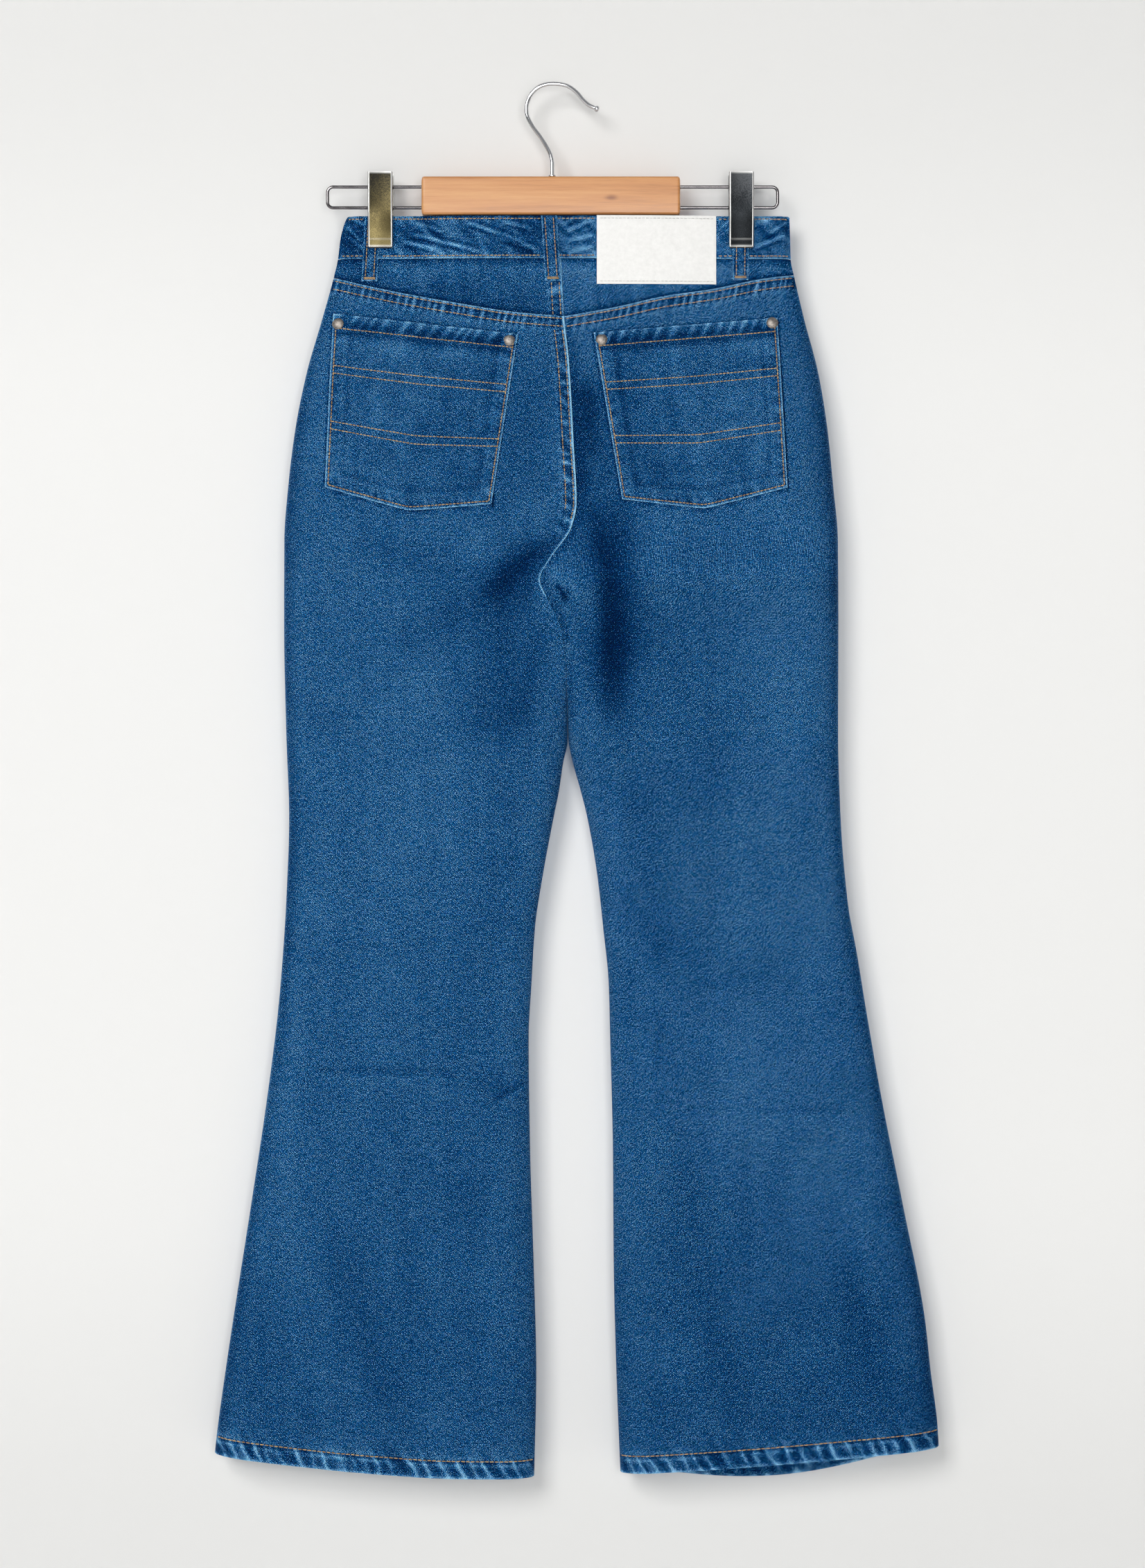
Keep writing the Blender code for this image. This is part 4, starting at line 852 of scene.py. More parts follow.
def panelRelief(leg, face, x, z):
    # Everything finer than the folds: seam bands, hem, creases, slow hand of the cloth, painted shade and
    # highlight. Height, and tone from rubbing and painted shade.
    seed = {"left": 10, "right": 40}[leg] + {"back": 0, "front": 100}[face]
    share = shareOf(leg, face, x, z)
    inner = np.abs(x - innerEdge(leg, face, z))
    fromSide = np.abs(x - outerEdge(leg, z))
    fade = edgeFade(leg, face, x, z)
    crease = foldDepth(creases[face, leg], x, z) * fade
    slow = 0.55 * noiseCloud(x / 46.0, z / 90.0, seed)
    slow = slow + 0.28 * noiseCloud(x / 17.0 + 0.2 * z / 17.0, z / 38.0, seed + 1)
    height = slow * fade * smoothStep(-190.0, -260.0, z) - crease
    # Painted shade in the fold and crease troughs, a painted highlight on the crease ridges.
    deep = np.clip(foldDepth(folds[face, leg], x, z) / 4.0, 0.0, 1.0)
    wearAndShading = -0.16 * deep - 0.10 * np.clip(crease, 0.0, 2.0) + 0.06 * np.clip(-crease, 0.0, 2.0)
    # Painted shade and highlight from the table above.
    wearAndShading = wearAndShading + foldDepth(paintedShadeMarks[leg] if face == "back" else [], x, z)
    wearAndShading = wearAndShading + 0.055 * noiseCloud(x / 60.0, z / 130.0, seed + 2)
    wearAndShading = wearAndShading + 0.035 * noiseCloud(x / 7.0, z / 150.0, seed + 3)
    wearAndShading = wearAndShading + 0.04 * noiseCloud(x / 22.0, z / 30.0, seed + 4)
    wearAndShading = wearAndShading - {"left": 0.10, "right": 0.20}[leg] * smoothStep(-840.0, -1050.0, z)
    # Painted shade where each leg rounds off towards its side seam; paler right at the side edge.
    wearAndShading = wearAndShading - 0.22 * bump(fromSide - 2.0, 7.0) + 0.45 * bump(fromSide, 1.3)
    hemHeight, hemWearAndShading = hemRelief(z - hemAt(leg, face, share), x, seed + 5)
    height = height + hemHeight
    wearAndShading = wearAndShading + hemWearAndShading
    if face == "front":
        return height, wearAndShading
    shadowSide, around, beyond = besidePocket(leg, x, z)
    # Painted shadow to the right of each pocket, and a darker line all round its edge, partly unworn denim and
    # partly painted shade.
    wearAndShading = wearAndShading - 0.40 * band(around, 0.0, 1.2, 1.4) - 0.9 * band(shadowSide, 0.0, 1.0, 1.2) * (beyond > 0.0)
    seamHeight, seamWearAndShading = felledSeam(readTable(yokeSeam, columnOf[leg], share) - z, x, seed + 7)
    height = height + seamHeight
    wearAndShading = wearAndShading + seamWearAndShading
    if leg == "right":
        # Painted shadow beside the seat seam, under the left panel's raised band.
        return height, wearAndShading - 0.22 * band(z, -420.0, -200.0, 10.0) * bump(inner - 2.0, 5.0)
    run = 1.0 - smoothStep(-330.0, -392.0, z)      # the seat seam's band, ending at the crotch
    crotch = smoothStep(-418.0, -410.0, z)
    seamHeight, seamWearAndShading = felledSeam(inner, z, seed + 9)
    seamWearAndShading = seamWearAndShading - 0.3 * np.clip(seamWearAndShading, 0.0, 1.0) * smoothStep(9.0, 11.0, inner)
    height = height * (1.0 - 0.5 * run * (inner < cloth["felledBand"]))
    height = height + seamHeight * np.maximum(run, 0.6 * crotch * (inner < 3.0))
    return height, wearAndShading + seamWearAndShading * run + 1.5 * bump(inner, 1.2) * crotch


def panelSurface(leg, face, x, z, relief=True):
    depth = foldedDepth(leg, face, x, z)
    if relief:
        depth = depth + panelRelief(leg, face, x, z)[0]
    return outward[face] * depth


def panelNormal(leg, face, x, z, step, relief):    # from the slopes over a small step
    slopeX = panelSurface(leg, face, x + step, z, relief) - panelSurface(leg, face, x - step, z, relief)
    slopeZ = panelSurface(leg, face, x, z + step, relief) - panelSurface(leg, face, x, z - step, relief)
    slopes = [-outward[face] * slope / (2.0 * step) for slope in (slopeX, slopeZ)]
    return unit(np.stack([slopes[0], np.full(x.shape, outward[face]), slopes[1]], axis=-1))


def scoopHeight(share):                         # the front panel's top edge, scooped for the pocket
    inside = np.clip(1.0 - (share / scoop["share"]) ** 2, 0.0, 1.0)
    return cloth["waistSeam"] - halfGap - scoop["drop"] * inside ** 0.7


def spreadShares(counts, stops):                # uneven spacing: how many steps between each pair of stops
    pieces = [np.linspace(a, b, n, endpoint=False) for a, b, n in zip(stops, stops[1:], counts)]
    return np.concatenate(pieces + [[stops[-1]]])


def bentRows(top, hem, nominal):                # nominal rows bent to a shaped top edge and hem
    reach = 150.0
    rows = nominal[:, None] + 0.0 * top[None, :]
    fromTop = np.exp(-((nominal[0] - nominal) / reach) ** 2)[:, None]
    fromHem = np.exp(-((nominal - nominal[-1]) / reach) ** 2)[:, None]
    return rows + (top - nominal[0])[None, :] * fromTop + (hem - nominal[-1])[None, :] * fromHem


def legPanel(leg, face):
    # Outer points on the sections, inner points on the same sections shrunk by the thickness.
    if face == "back":
        shares = spreadShares([10, 122, 24], [0.0, 0.06, 0.9, 1.0])
        nominal = spreadShares([18, 10, 244, 20], [-182.0, -195.0, -212.0, -1106.0, -1121.5])
        top = readTable(yokeSeam, columnOf[leg], shares) - halfGap
        restsOn = f"yoke_{leg}"
    else:
        shares = spreadShares([14, 40, 12], [0.0, 0.14, 0.9, 1.0])
        nominal = spreadShares([12, 220, 14], [cloth["waistSeam"], -165.0, -1106.0, -1121.5])
        top = scoopHeight(shares)
        restsOn = "waistband"
    hem = hemAt(leg, face, shares)
    z = bentRows(top, hem, nominal)
    x0 = outerEdge(leg, z)
    x1 = innerEdge(leg, face, z)
    x = x0 + (x1 - x0) * shares
    closed = smoothStep(*cloth["inseamCloses"], z)
    inset = inward[leg] * cloth["denim"]
    inX = x0 + inset + (x1 - inset * closed - x0 - inset) * shares
    base = foldedDepth(leg, face, x, z)
    fine, wearAndShading = panelRelief(leg, face, x, z)
    sewn = 1.0 - closed * (1.0 - smoothStep(0.0, 2.5, np.abs(x - x1)))
    sewn = smoothStep(0.0, 2.5, np.abs(x - x0)) * sewn
    depth = np.maximum(base + fine * sewn, halfGap)
    crease = foldDepth(creases[face, leg], x, z) * edgeFade(leg, face, x, z)
    inDepth = np.maximum(base - crease - cloth["denim"], halfGap)
    outer = np.stack([x, outward[face] * depth, z], axis=-1)
    inner = np.stack([inX, outward[face] * inDepth, z], axis=-1)
    flip = (face == "back") == (leg == "right")
    clothShell(f"{face}Panel{leg.title()}", outer, inner, wearAndShading, [f"{face}_panel_{leg}"], [restsOn], flip,
               z - hem < cloth["hemBand"])


def yokeRelief(leg, x, z):
    # Painted shade under the waistband and at the yoke seam, darker towards the side seam; the left one has the
    # seat seam. Height, and tone from rubbing and painted shade.
    seed = {"left": 210, "right": 240}[leg]
    height = 0.35 * noiseCloud(x / 24.0, z / 14.0, seed)
    wearAndShading = 0.12 * noiseCloud(x / 22.0, z / 12.0, seed + 1) - {"left": 0.12, "right": -0.02}[leg]
    fromBand = cloth["waistSeam"] - z
    # Painted shadow just under the waistband's edge.
    wearAndShading = wearAndShading - 0.45 * bump(fromBand, 2.6)
    wearAndShading = wearAndShading + 0.22 * bump(fromBand - 9.0, 3.6) * (0.5 + 0.5 * noiseLine(x / 9.0, seed + 6))
    wearAndShading = wearAndShading + 0.12 * noiseCloud(x / 6.0, z / 60.0, seed + 7) - 0.08 * smoothStep(8.0, 30.0, fromBand)
    toSeam = z - readTable(yokeSeam, columnOf[leg], shareOf(leg, "back", x, z))
    # Painted shade at the yoke seam, and darker towards the side seam.
    wearAndShading = wearAndShading - 0.55 * bump(toSeam, 2.6) - 0.2 * bump(x - outerEdge(leg, z), 24.0)
    if leg == "left":
        seamHeight, seamWearAndShading = felledSeam(np.abs(x - innerEdge(leg, "back", z)), z, seed + 3)
        height = height + seamHeight
        wearAndShading = wearAndShading + seamWearAndShading
    return height * smoothStep(0.0, 6.0, fromBand + 3.0), wearAndShading


def rowsDown(bottom, count):                    # level rows from the waistband's seam to a shaped lower edge
    top = cloth["waistSeam"] - halfGap
    return top + (bottom - top) * np.linspace(0.0, 1.0, count)[:, None]


def yoke(leg):
    shares = spreadShares([12, 60, 18], [0.0, 0.1, 0.92, 1.0])
    z = rowsDown(readTable(yokeSeam, columnOf[leg], shares) + halfGap, 30)
    x = acrossLeg(leg, "back", z, shares)
    inX = x + inward[leg] * cloth["denim"] * (1.0 - shares)
    fine, wearAndShading = yokeRelief(leg, x, z)
    base = halfDepth(leg, "back", x, z)
    depth = np.maximum(base + fine * smoothStep(0.0, 4.0, np.abs(x - outerEdge(leg, z))), halfGap)
    outer = np.stack([x, -depth, z], axis=-1)
    inner = np.stack([inX, -np.maximum(base - cloth["denim"], halfGap), z], axis=-1)
    clothShell(f"yoke{leg.title()}", outer, inner, wearAndShading, [f"yoke_{leg}"], ["waistband"], leg == "right")


def facing(leg):                                # the denim behind the scooped mouth of a front pocket
    shares = np.linspace(0.0146, 0.56, 40)
    z = rowsDown(scoopHeight(shares) - scoop["margin"], 36)
    gap = cloth["denim"] + cloth["pocketLying"]
    depth = halfDepth(leg, "front", acrossLeg(leg, "front", z, shares), z)
    x0 = outerEdge(leg, z)
    x1 = innerEdge(leg, "front", z)
    grids = []
    for inset, thickness in ((gap, 0.0), (gap + 1.0, cloth["facing"])):
        inset = inward[leg] * inset
        x = x0 + inset + (x1 - x0 - inset) * shares
        grids.append(np.stack([x, np.maximum(depth - gap - thickness, 0.15), z], axis=-1))
    wearAndShading = -0.2 + 0.1 * noiseCloud(grids[0][..., 0] / 15.0, z / 15.0, 300)
    clothShell(f"frontPocketFacing{leg.title()}", *grids, wearAndShading, [f"front_pocket_facing_{leg}"], ["waistband"],
               leg == "left")


for legName in ("left", "right"):
    legPanel(legName, "back")
    legPanel(legName, "front")
    yoke(legName)
    facing(legName)
print("panels and yokes ready")

waist = {"height": 34.5, "underlapEnd": -24.0, "overlapEnd": 16.0, "topStitch": 2.6, "seamStitch": 2.2}
# Lighter and darker stretches of the waistband: x, half width, strength
bandShades = [(-177.0, 17.0, -0.26), (-140.0, 20.0, -0.18), (-58.0, 20.0, 0.12), (-2.0, 22.0, -0.14)]


def bandRelief(face, x, z):
    # Pressed band: worn fold and seam edge, slanted creases with painted shade beside them, puckers at both
    # stitch rows, a painted shadow under the hanger bar. Height, and tone from rubbing and painted shade.
    seed = 320 if face == "back" else 340
    fromTop = cloth["waistTop"] - z
    fromSeam = z - cloth["waistSeam"]
    slant = x + 1.1 * z
    broad = noiseCloud(slant / 16.0, z / 26.0, seed)
    fine = noiseCloud(slant / 6.5, z / 15.0, seed + 1)
    edges = bump(fromTop, 5.0) + bump(fromSeam, 5.0)
    puckers = seamPuckers(x, 5.2, seed + 2)
    streaks = bump(noiseCloud((x + 0.9 * z) / 17.0, (0.4 * x - z) / 21.0, seed + 5), 0.13)
    streaks = streaks + 0.6 * bump(noiseCloud((x - 0.5 * z) / 23.0, (0.3 * x + z) / 17.0, seed + 7), 0.10)
    streaks = streaks * np.clip(0.55 + 0.9 * noiseCloud(x / 34.0, z / 22.0, seed + 8), 0.0, 1.0)
    bars = lightBars(x + 0.3 * fromSeam, 8.5, seed + 9, 0.2)
    lines = bandCreases if face == "back" else []
    pressed = foldDepth(lines, x, z)
    # Painted shade just below each pressed crease and, weaker, just above it; it also sinks the height a
    # little.
    shaded = foldDepth(lines, x, z + 2.9) + 0.6 * foldDepth(lines, x, z - 3.4)
    height = 0.7 * broad + 0.4 * fine + 0.25 * puckers * edges + 0.35 * streaks
    height = height + 0.9 * pressed - 0.35 * shaded
    height = height - 0.2 * bump(fromTop - waist["topStitch"], 0.8)
    height = height - 0.2 * bump(fromSeam - waist["seamStitch"], 0.8)
    # Painted shadow of the hanger bar: the pale top edge is darkened beneath the bar.
    barShadow = band(x, -104.0, 99.0, 4.0) * (1.0 if face == "back" else 0.0)
    wearAndShading = 0.42 * fine + 0.22 * broad + 0.86 * pressed - 0.62 * shaded
    wearAndShading = wearAndShading + (0.85 - 1.3 * barShadow) * bump(fromTop, 1.3)
    wearAndShading = wearAndShading + 1.3 * bump(fromSeam - 0.1, 0.8) + 0.4 * streaks
    wearAndShading = wearAndShading + 0.45 * bars * bump(fromSeam - 3.0, 4.5) + 0.35 * bars * bump(fromTop - 4.0, 3.5)
    wearAndShading = wearAndShading - 0.10 * edges - 0.13
    for place, width, strength in bandShades:
        wearAndShading = wearAndShading + strength * bump(x - place, width)
    return height * band(fromTop, 2.0, 31.0, 2.0), wearAndShading


def bandDepth(share, inset=0.0):                # half depth of the waistband at an inset into its thickness
    depth = readTable(waistDepths, 1, share) + cloth["proud"] - inset
    return np.maximum(depth, 0.4) * smoothStep(0.0, 0.03, share)


def lapDepth(fromMiddle):                       # how far the front's upper lap lies over the underlap
    lap = cloth["waistband"] + cloth["lying"]
    return lap * smoothStep(waist["underlapEnd"] - 34.0, waist["underlapEnd"] - 4.0, fromMiddle)


def waistbandPiece():
    # Profile carried from the front's middle round the right side, the back and the left side to the middle
    # again: outer face down, under edge, inner face up, rounded top fold.
    half = spreadShares([10, 12, 150], [0.0, 0.012, 0.05, 1.0])[1:]
    back = half[::-1]
    count = len(half)
    share = np.concatenate([back, [0.0], half, back[1:], [0.0], half])[:, None]
    row = np.arange(len(share))[:, None]
    isLeft = row > 2 * count
    isBack = (row > count) & (row < 3 * count)
    isUpper = row > 3 * count
    across = [0.0, 0.15, 0.5, 1.3, 2.1, 2.45, 2.6]
    top = [1.25, 0.75, 0.3, 0.0, 0.3, 0.75, 1.25]
    depthsDown = np.linspace(1.25, 34.0, 30)
    profile = list(zip(across, top)) + [(2.6, d) for d in depthsDown[4::6]]
    profile += [(2.35, waist["height"]), (0.25, waist["height"])] + [(0.0, d) for d in depthsDown[::-1][:-1]]
    inset, down = np.array(profile).T[:, None, :]
    z = cloth["waistTop"] - down + 0.0 * share
    edge = np.where(isLeft, outerEdge("left", z) + inset, outerEdge("right", z) - inset)
    middle = readTable(backInseams, 1, z)
    x = edge + (middle - edge) * share
    backHeight, backWearAndShading = bandRelief("back", x, z)
    frontHeight, frontWearAndShading = bandRelief("front", x, z)
    wearAndShading = np.where(isBack, backWearAndShading, frontWearAndShading)
    away = smoothStep(0.02, 0.08, share) * (inset < 0.1)
    depth = bandDepth(share, inset) + np.where(isBack, backHeight, frontHeight) * away
    depth = depth + lapDepth(x - middle) * isUpper
    x = np.concatenate([middle[:1] + waist["underlapEnd"], x, middle[-1:] + waist["overlapEnd"]])
    y = np.concatenate([depth[:1], np.where(isBack, -depth, depth), depth[-1:]])
    z = np.concatenate([z[:1], z, z[-1:]])
    wearAndShading = np.concatenate([wearAndShading[:1] + 0.3, wearAndShading, wearAndShading[-1:] + 0.3])
    points = np.stack([x, y, z], axis=-1)
    columns, around = x.shape
    length = arcAlong(points[:, -1:, :], 0)
    uv = np.stack([length + 0.0 * x, z], axis=-1)
    quads = tubeQuads(columns, around, ringCap(around)[:, ::-1])
    piece = buildMesh("waistbandCloth", points, quads, [denimOuter], uv, wearAndShading)
    width = float(length.max())
    finishCloth(piece, ["waistband"], width, waist["height"], width * waist["height"])


waistbandPiece()
print("waistband ready")


def waistShare(x, z):                           # the centre line, and the share of the way to it
    middle = readTable(backInseams, 1, z)
    outer = np.where(x < middle, outerEdge("left", z), outerEdge("right", z))
    return middle, np.clip((x - outer) / (middle - outer), 0.0, 1.0)


def eitherDepth(face, x, z, middle):
    return np.where(x < middle, halfDepth("left", face, x, z), halfDepth("right", face, x, z))


def waistSurface(face, x, z):                   # outermost half depth near the waist
    middle, share = waistShare(x, z)
    onBand = np.where(z > cloth["waistSeam"] - 3.0, readTable(waistDepths, 1, share) + cloth["proud"], 0.0)
    return np.maximum(onBand, eitherDepth(face, x, z, middle))


def pocketPlane(leg, across, down):             # x and z of a place on a pocket, across and down its patch
    place = []
    for topLeft, topRight, lowRight, lowLeft in zip(*pockets[leg]):
        left = topLeft + (lowLeft - topLeft) * down
        right = topRight + (lowRight - topRight) * down
        place.append(left + (right - left) * across)
    vee = np.sqrt((2.0 * across - 1.0) ** 2 + 0.003)
    return place[0], place[1] - pocketShape["point"] * down ** 2 * (1.0 - vee)


def pocketRelief(leg, across, down):
    # Turned mouth and edges with puckers, light bars and pale folds, painted shade along the edge stitching and
    # towards the middle of the back. Returns height and tone from rubbing and painted shade.
    seed = {"left": 400, "right": 430}[leg]
    fromLeft = across * pocketShape["width"]
    fromRight = (1.0 - across) * pocketShape["width"]
    fromTop = down * pocketShape["height"]
    fromLow = (1.0 - down) * pocketShape["height"]
    side = np.minimum(fromLeft, fromRight)
    rim = np.minimum(side, fromLow)
    fromMouth = fromTop - pocketShape["mouthBand"]
    mouth = band(fromTop, -1.0, pocketShape["mouthBand"], 1.2)
    mouthBars = lightBars(fromLeft + 0.55 * fromTop, 10.5, seed, 0.2)
    mouthPuckers = 2.0 * mouthBars - 1.0
    rimBars = lightBars(np.where(side < fromLow, fromTop, fromLeft) + 0.3 * rim, 9.5, seed + 2, 0.2)
    rimPuckers = (2.0 * rimBars - 1.0) * (1.0 - smoothStep(4.0, 8.0, rim))
    turned = 1.0 - smoothStep(9.0, 11.5, rim)
    bulk = 0.35 * noiseCloud(fromLeft / 26.0, fromTop / 30.0, seed + 4)
    bulk = bulk + 0.2 * noiseCloud(fromLeft / 9.0, fromTop / 12.0, seed + 5)
    height = 0.55 * mouth + 0.32 * mouth * mouthPuckers + 0.4 * turned + 0.22 * rimPuckers + bulk
    height = height - 0.3 * (1.0 - smoothStep(0.0, 1.2, np.minimum(rim, fromTop)))
    height = height - 0.22 * bump(fromMouth, 0.9) - 0.22 * bump(rim - pocketShape["edgeStitch"], 0.9)
    # Pale worn rim; painted shade in the groove of the edge stitching.
    wearAndShading = 1.25 * bump(rim, 0.85) - 0.5 * bump(rim - 2.7, 1.0)
    wearAndShading = wearAndShading + 0.95 * bump(fromTop, 1.3) * (0.75 + 0.35 * mouthPuckers)
    wearAndShading = wearAndShading + mouth * (0.90 * mouthBars * smoothStep(13.0, 3.0, fromTop) - 0.12)
    wearAndShading = wearAndShading - 0.5 * bump(fromMouth + 3.2, 3.6) * (1.0 - mouthBars)
    wearAndShading = wearAndShading + 0.5 * rimBars * bump(rim - 3.5, 4.0) - 0.12 * (1.0 - rimBars) * bump(rim - 5.0, 4.0)
    wearAndShading = wearAndShading + 0.26 * bump(rim - 10.8, 1.6) * (0.4 + 0.6 * rimBars) - 0.14 * bump(rim - 14.5, 3.0)
    wearAndShading = wearAndShading - 0.34 * bump(fromMouth - 3.2, 2.6) + 0.10 * bump(fromTop - 24.0, 6.0)
    wearAndShading = wearAndShading + 0.09 * noiseCloud(fromLeft / 26.0, fromTop / 22.0, seed + 6)
    wearAndShading = wearAndShading + 0.09 * noiseCloud(fromLeft / 8.0, fromTop / 9.0, seed + 7)
    wearAndShading = wearAndShading + 0.06 * noiseCloud(fromLeft / 5.0, fromTop / 60.0, seed + 8)
    toMiddle = fromRight if leg == "left" else fromLeft
    # Painted shade over the pocket's side towards the middle of the back.
    wearAndShading = wearAndShading - {"left": 0.15, "right": 0.27}[leg] * bump(toMiddle, 44.0) * smoothStep(4.0, 14.0, rim)
    return height, wearAndShading - 0.03


def pocketPoints(leg, across, down, height):    # points at a height over the cloth under the pocket
    x, z = pocketPlane(leg, across, down)
    base = np.stack([x, panelSurface(leg, "back", x, z, False), z], axis=-1)
    return base + panelNormal(leg, "back", x, z, 0.5, False) * np.asarray(height)[..., None]


def backPocket(leg):
    across = spreadShares([12, 84, 12], [0.0, 0.08, 0.92, 1.0])[None, :]
    down = spreadShares([24, 78, 12], [0.0, 0.11, 0.92, 1.0])[:, None]
    across, down = np.broadcast_arrays(across, down)
    relief, wearAndShading = pocketRelief(leg, across, down)
    outer = pocketPoints(leg, across, down, cloth["pocketLying"] + cloth["denim"] + relief)
    inner = pocketPoints(leg, across, down, np.full(across.shape, 0.15))
    clothShell(f"backPocket{leg.title()}", outer, inner, wearAndShading, [f"back_pocket_{leg}"],
               [f"back_panel_{leg}"], False)


for legName in ("left", "right"):
    backPocket(legName)
print("back pockets ready")

loops = {                                       # name: node, face, top x, bottom x, bottom height, stand off
    "CentreBack": ("centre_back", "back", -3.9, -0.5, -159.0, 0.8),
    "BackLeft": ("back_left", "back", -146.0, -148.8, -158.8, 0.0),
    "BackRight": ("back_right", "back", 151.0, 150.6, -157.7, 0.0),
    "FrontLeft": ("front_left", "front", -88.0, -90.0, -158.5, 0.8),
    "FrontRight": ("front_right", "front", 104.0, 106.0, -158.5, 0.8),
}
loopShape = {"width": 12.5, "rows": 3.4}


def loopPoint(loop, across, down, height):      # across from -0.5 to 0.5, down from 0 to 1
    node, face, topX, bottomX, bottom, standOff = loop
    top = cloth["waistTop"] - 0.6
    z = top + (bottom - top) * down + 0.0 * across
    x = topX + (bottomX - topX) * down + loopShape["width"] * across
    depth = waistSurface(face, x, z) + cloth["lying"] + standOff * np.sin(math.pi * down) + height
    return np.stack([x, outward[face] * depth, z], axis=-1)


def beltLoop(name, loop):
    across = np.linspace(-0.5, 0.5, 17)[None, :]
    down = np.linspace(0.0, 1.0, 64)[:, None]
    across, down = np.broadcast_arrays(across, down)
    seed = 500 + sum(map(ord, name)) % 40
    edge = (0.5 - np.abs(across)) * loopShape["width"]
    rowDip = bump(np.abs(across) * loopShape["width"] - loopShape["rows"], 0.7)
    ends = 1.0 - band(down, 0.05, 0.93, 0.02)
    height = cloth["loop"] - 0.55 * bump(edge, 1.0) + 0.16 * noiseLine(down * 14.0, seed)
    height = height - 0.18 * rowDip - 0.15 * ends
    wearAndShading = 1.05 * bump(edge, 0.8) * (0.75 + 0.3 * noiseLine(down * 26.0 + across, seed + 3))
    wearAndShading = wearAndShading + 0.6 * bump(1.0 - down, 0.025)
    wearAndShading = wearAndShading + 0.25 * noiseLine(down * 12.0 + across * 2.0, seed + 1) - 0.42 * bump(edge - 2.4, 1.1)
    wearAndShading = wearAndShading + 0.3 * bump(np.abs(across), 0.12) * (0.5 + 0.5 * noiseLine(down * 18.0, seed + 2)) - 0.17
    outer = loopPoint(loop, across, down, height)
    inner = loopPoint(loop, across, down, 0.0)
    clothShell(f"beltLoop{name}", outer, inner, wearAndShading, [f"belt_loop_{loop[0]}"],
               ["waistband"], loop[1] == "front")


label = {"left": 34.7, "right": 131.0, "top": -106.0, "bottom": -161.3, "size": (96.3, 56.3),
         "topStitch": 2.4, "lowStitch": 2.2}


def labelPoint(x, z, height):
    onBand = waistSurface("back", x, np.full(x.shape, cloth["waistSeam"] + 1.0))
    depth = np.maximum(onBand, waistSurface("back", x, z)) + cloth["lying"] + height
    return np.stack([x, -depth, z], axis=-1)


def labelPatch():
    x = np.linspace(label["left"], label["right"], 70)
    x, z = np.meshgrid(x, np.linspace(label["top"], label["bottom"], 44))
    fromTop = label["top"] - z
    fromLow = z - label["bottom"]
    edge = np.minimum(np.minimum(x - label["left"], label["right"] - x), np.minimum(fromTop, fromLow))
    wave = 0.45 * noiseCloud(x / 21.0, z / 19.0, 610) + 0.15 * noiseCloud(x / 6.0, z / 6.0, 611)
    sewn = bump(fromTop - label["topStitch"], 1.0) + bump(fromLow - label["lowStitch"], 1.0)
    height = cloth["label"] - 0.3 * bump(edge, 0.8) - 0.25 * sewn + wave * smoothStep(0.0, 6.0, edge)
    points = [labelPoint(x, z, h).reshape(-1, 3) for h in (height, -0.2)]
    quads = np.concatenate(wallQuads(*x.shape, False))
    piece = buildMesh("labelPatch", np.concatenate(points), quads, [patch])
    width, length = label["size"]
    finishCloth(piece, ["label_patch"], width, length, width * length)


flyShape = {"width": 36.0, "length": 150.0, "over": 4.0}


def flyWidth(down):                             # the J: full width, then a quarter ellipse to its foot
    return flyShape["width"] * np.sqrt(np.clip(1.0 - (np.clip(down - 0.72, 0.0, None) / 0.3) ** 2, 0.0, 1.0))


def flyPoint(across, down, height):
    z = cloth["waistSeam"] - 0.6 - flyShape["length"] * down + 0.0 * across
    middle = readTable(frontRise, 1, z)
    x = middle + flyShape["over"] - flyWidth(down) * (1.0 - across)
    return np.stack([x, eitherDepth("front", x, z, middle) + height, z], axis=-1)


def flyPiece():
    across, down = np.meshgrid(np.linspace(0.0, 1.0, 26), np.linspace(0.0, 1.0, 90))
    edge = np.minimum(across, 1.0 - across) * flyShape["width"]
    height = cloth["lying"] + cloth["denim"] + 0.3 * noiseCloud(across * 2.5, down * 9.0, 640)
    height = height - 0.3 * bump(edge, 0.8)
    wearAndShading = 0.7 * bump(edge, 1.1) + 0.2 * noiseCloud(across * 4.0, down * 14.0, 641) + 0.02
    outer = flyPoint(across, down, height)
    clothShell("flyCloth", outer, flyPoint(across, down, 0.1), wearAndShading, ["fly"], ["front_panel_left"], True)


for loopName, loopValues in loops.items():
    beltLoop(loopName, loopValues)
labelPatch()
flyPiece()
print("loops, label and fly ready")

thread = {"radius": 0.40, "length": 2.75, "pitch": 3.05, "sides": 6}


def stitchTemplate():
    # One stitch: a short six-sided capsule along its own x, ends drawn in and dipped.
    stations = np.array([-0.5, -0.34, 0.34, 0.5])
    radii = np.array([0.35, 1.0, 1.0, 0.35])
    lift = np.array([-0.9, 0.0, 0.0, -0.9])
    angle = 2.0 * math.pi * np.arange(thread["sides"]) / thread["sides"]
    along = np.repeat(stations, thread["sides"])
    side = (radii[:, None] * np.cos(angle)).ravel()
    up = (radii[:, None] * np.sin(angle) + lift[:, None]).ravel()
    caps = np.array([[0, 1, 2, 3], [3, 4, 5, 0]])
    return np.stack([along, side, up], axis=-1), tubeQuads(len(stations), thread["sides"], caps)


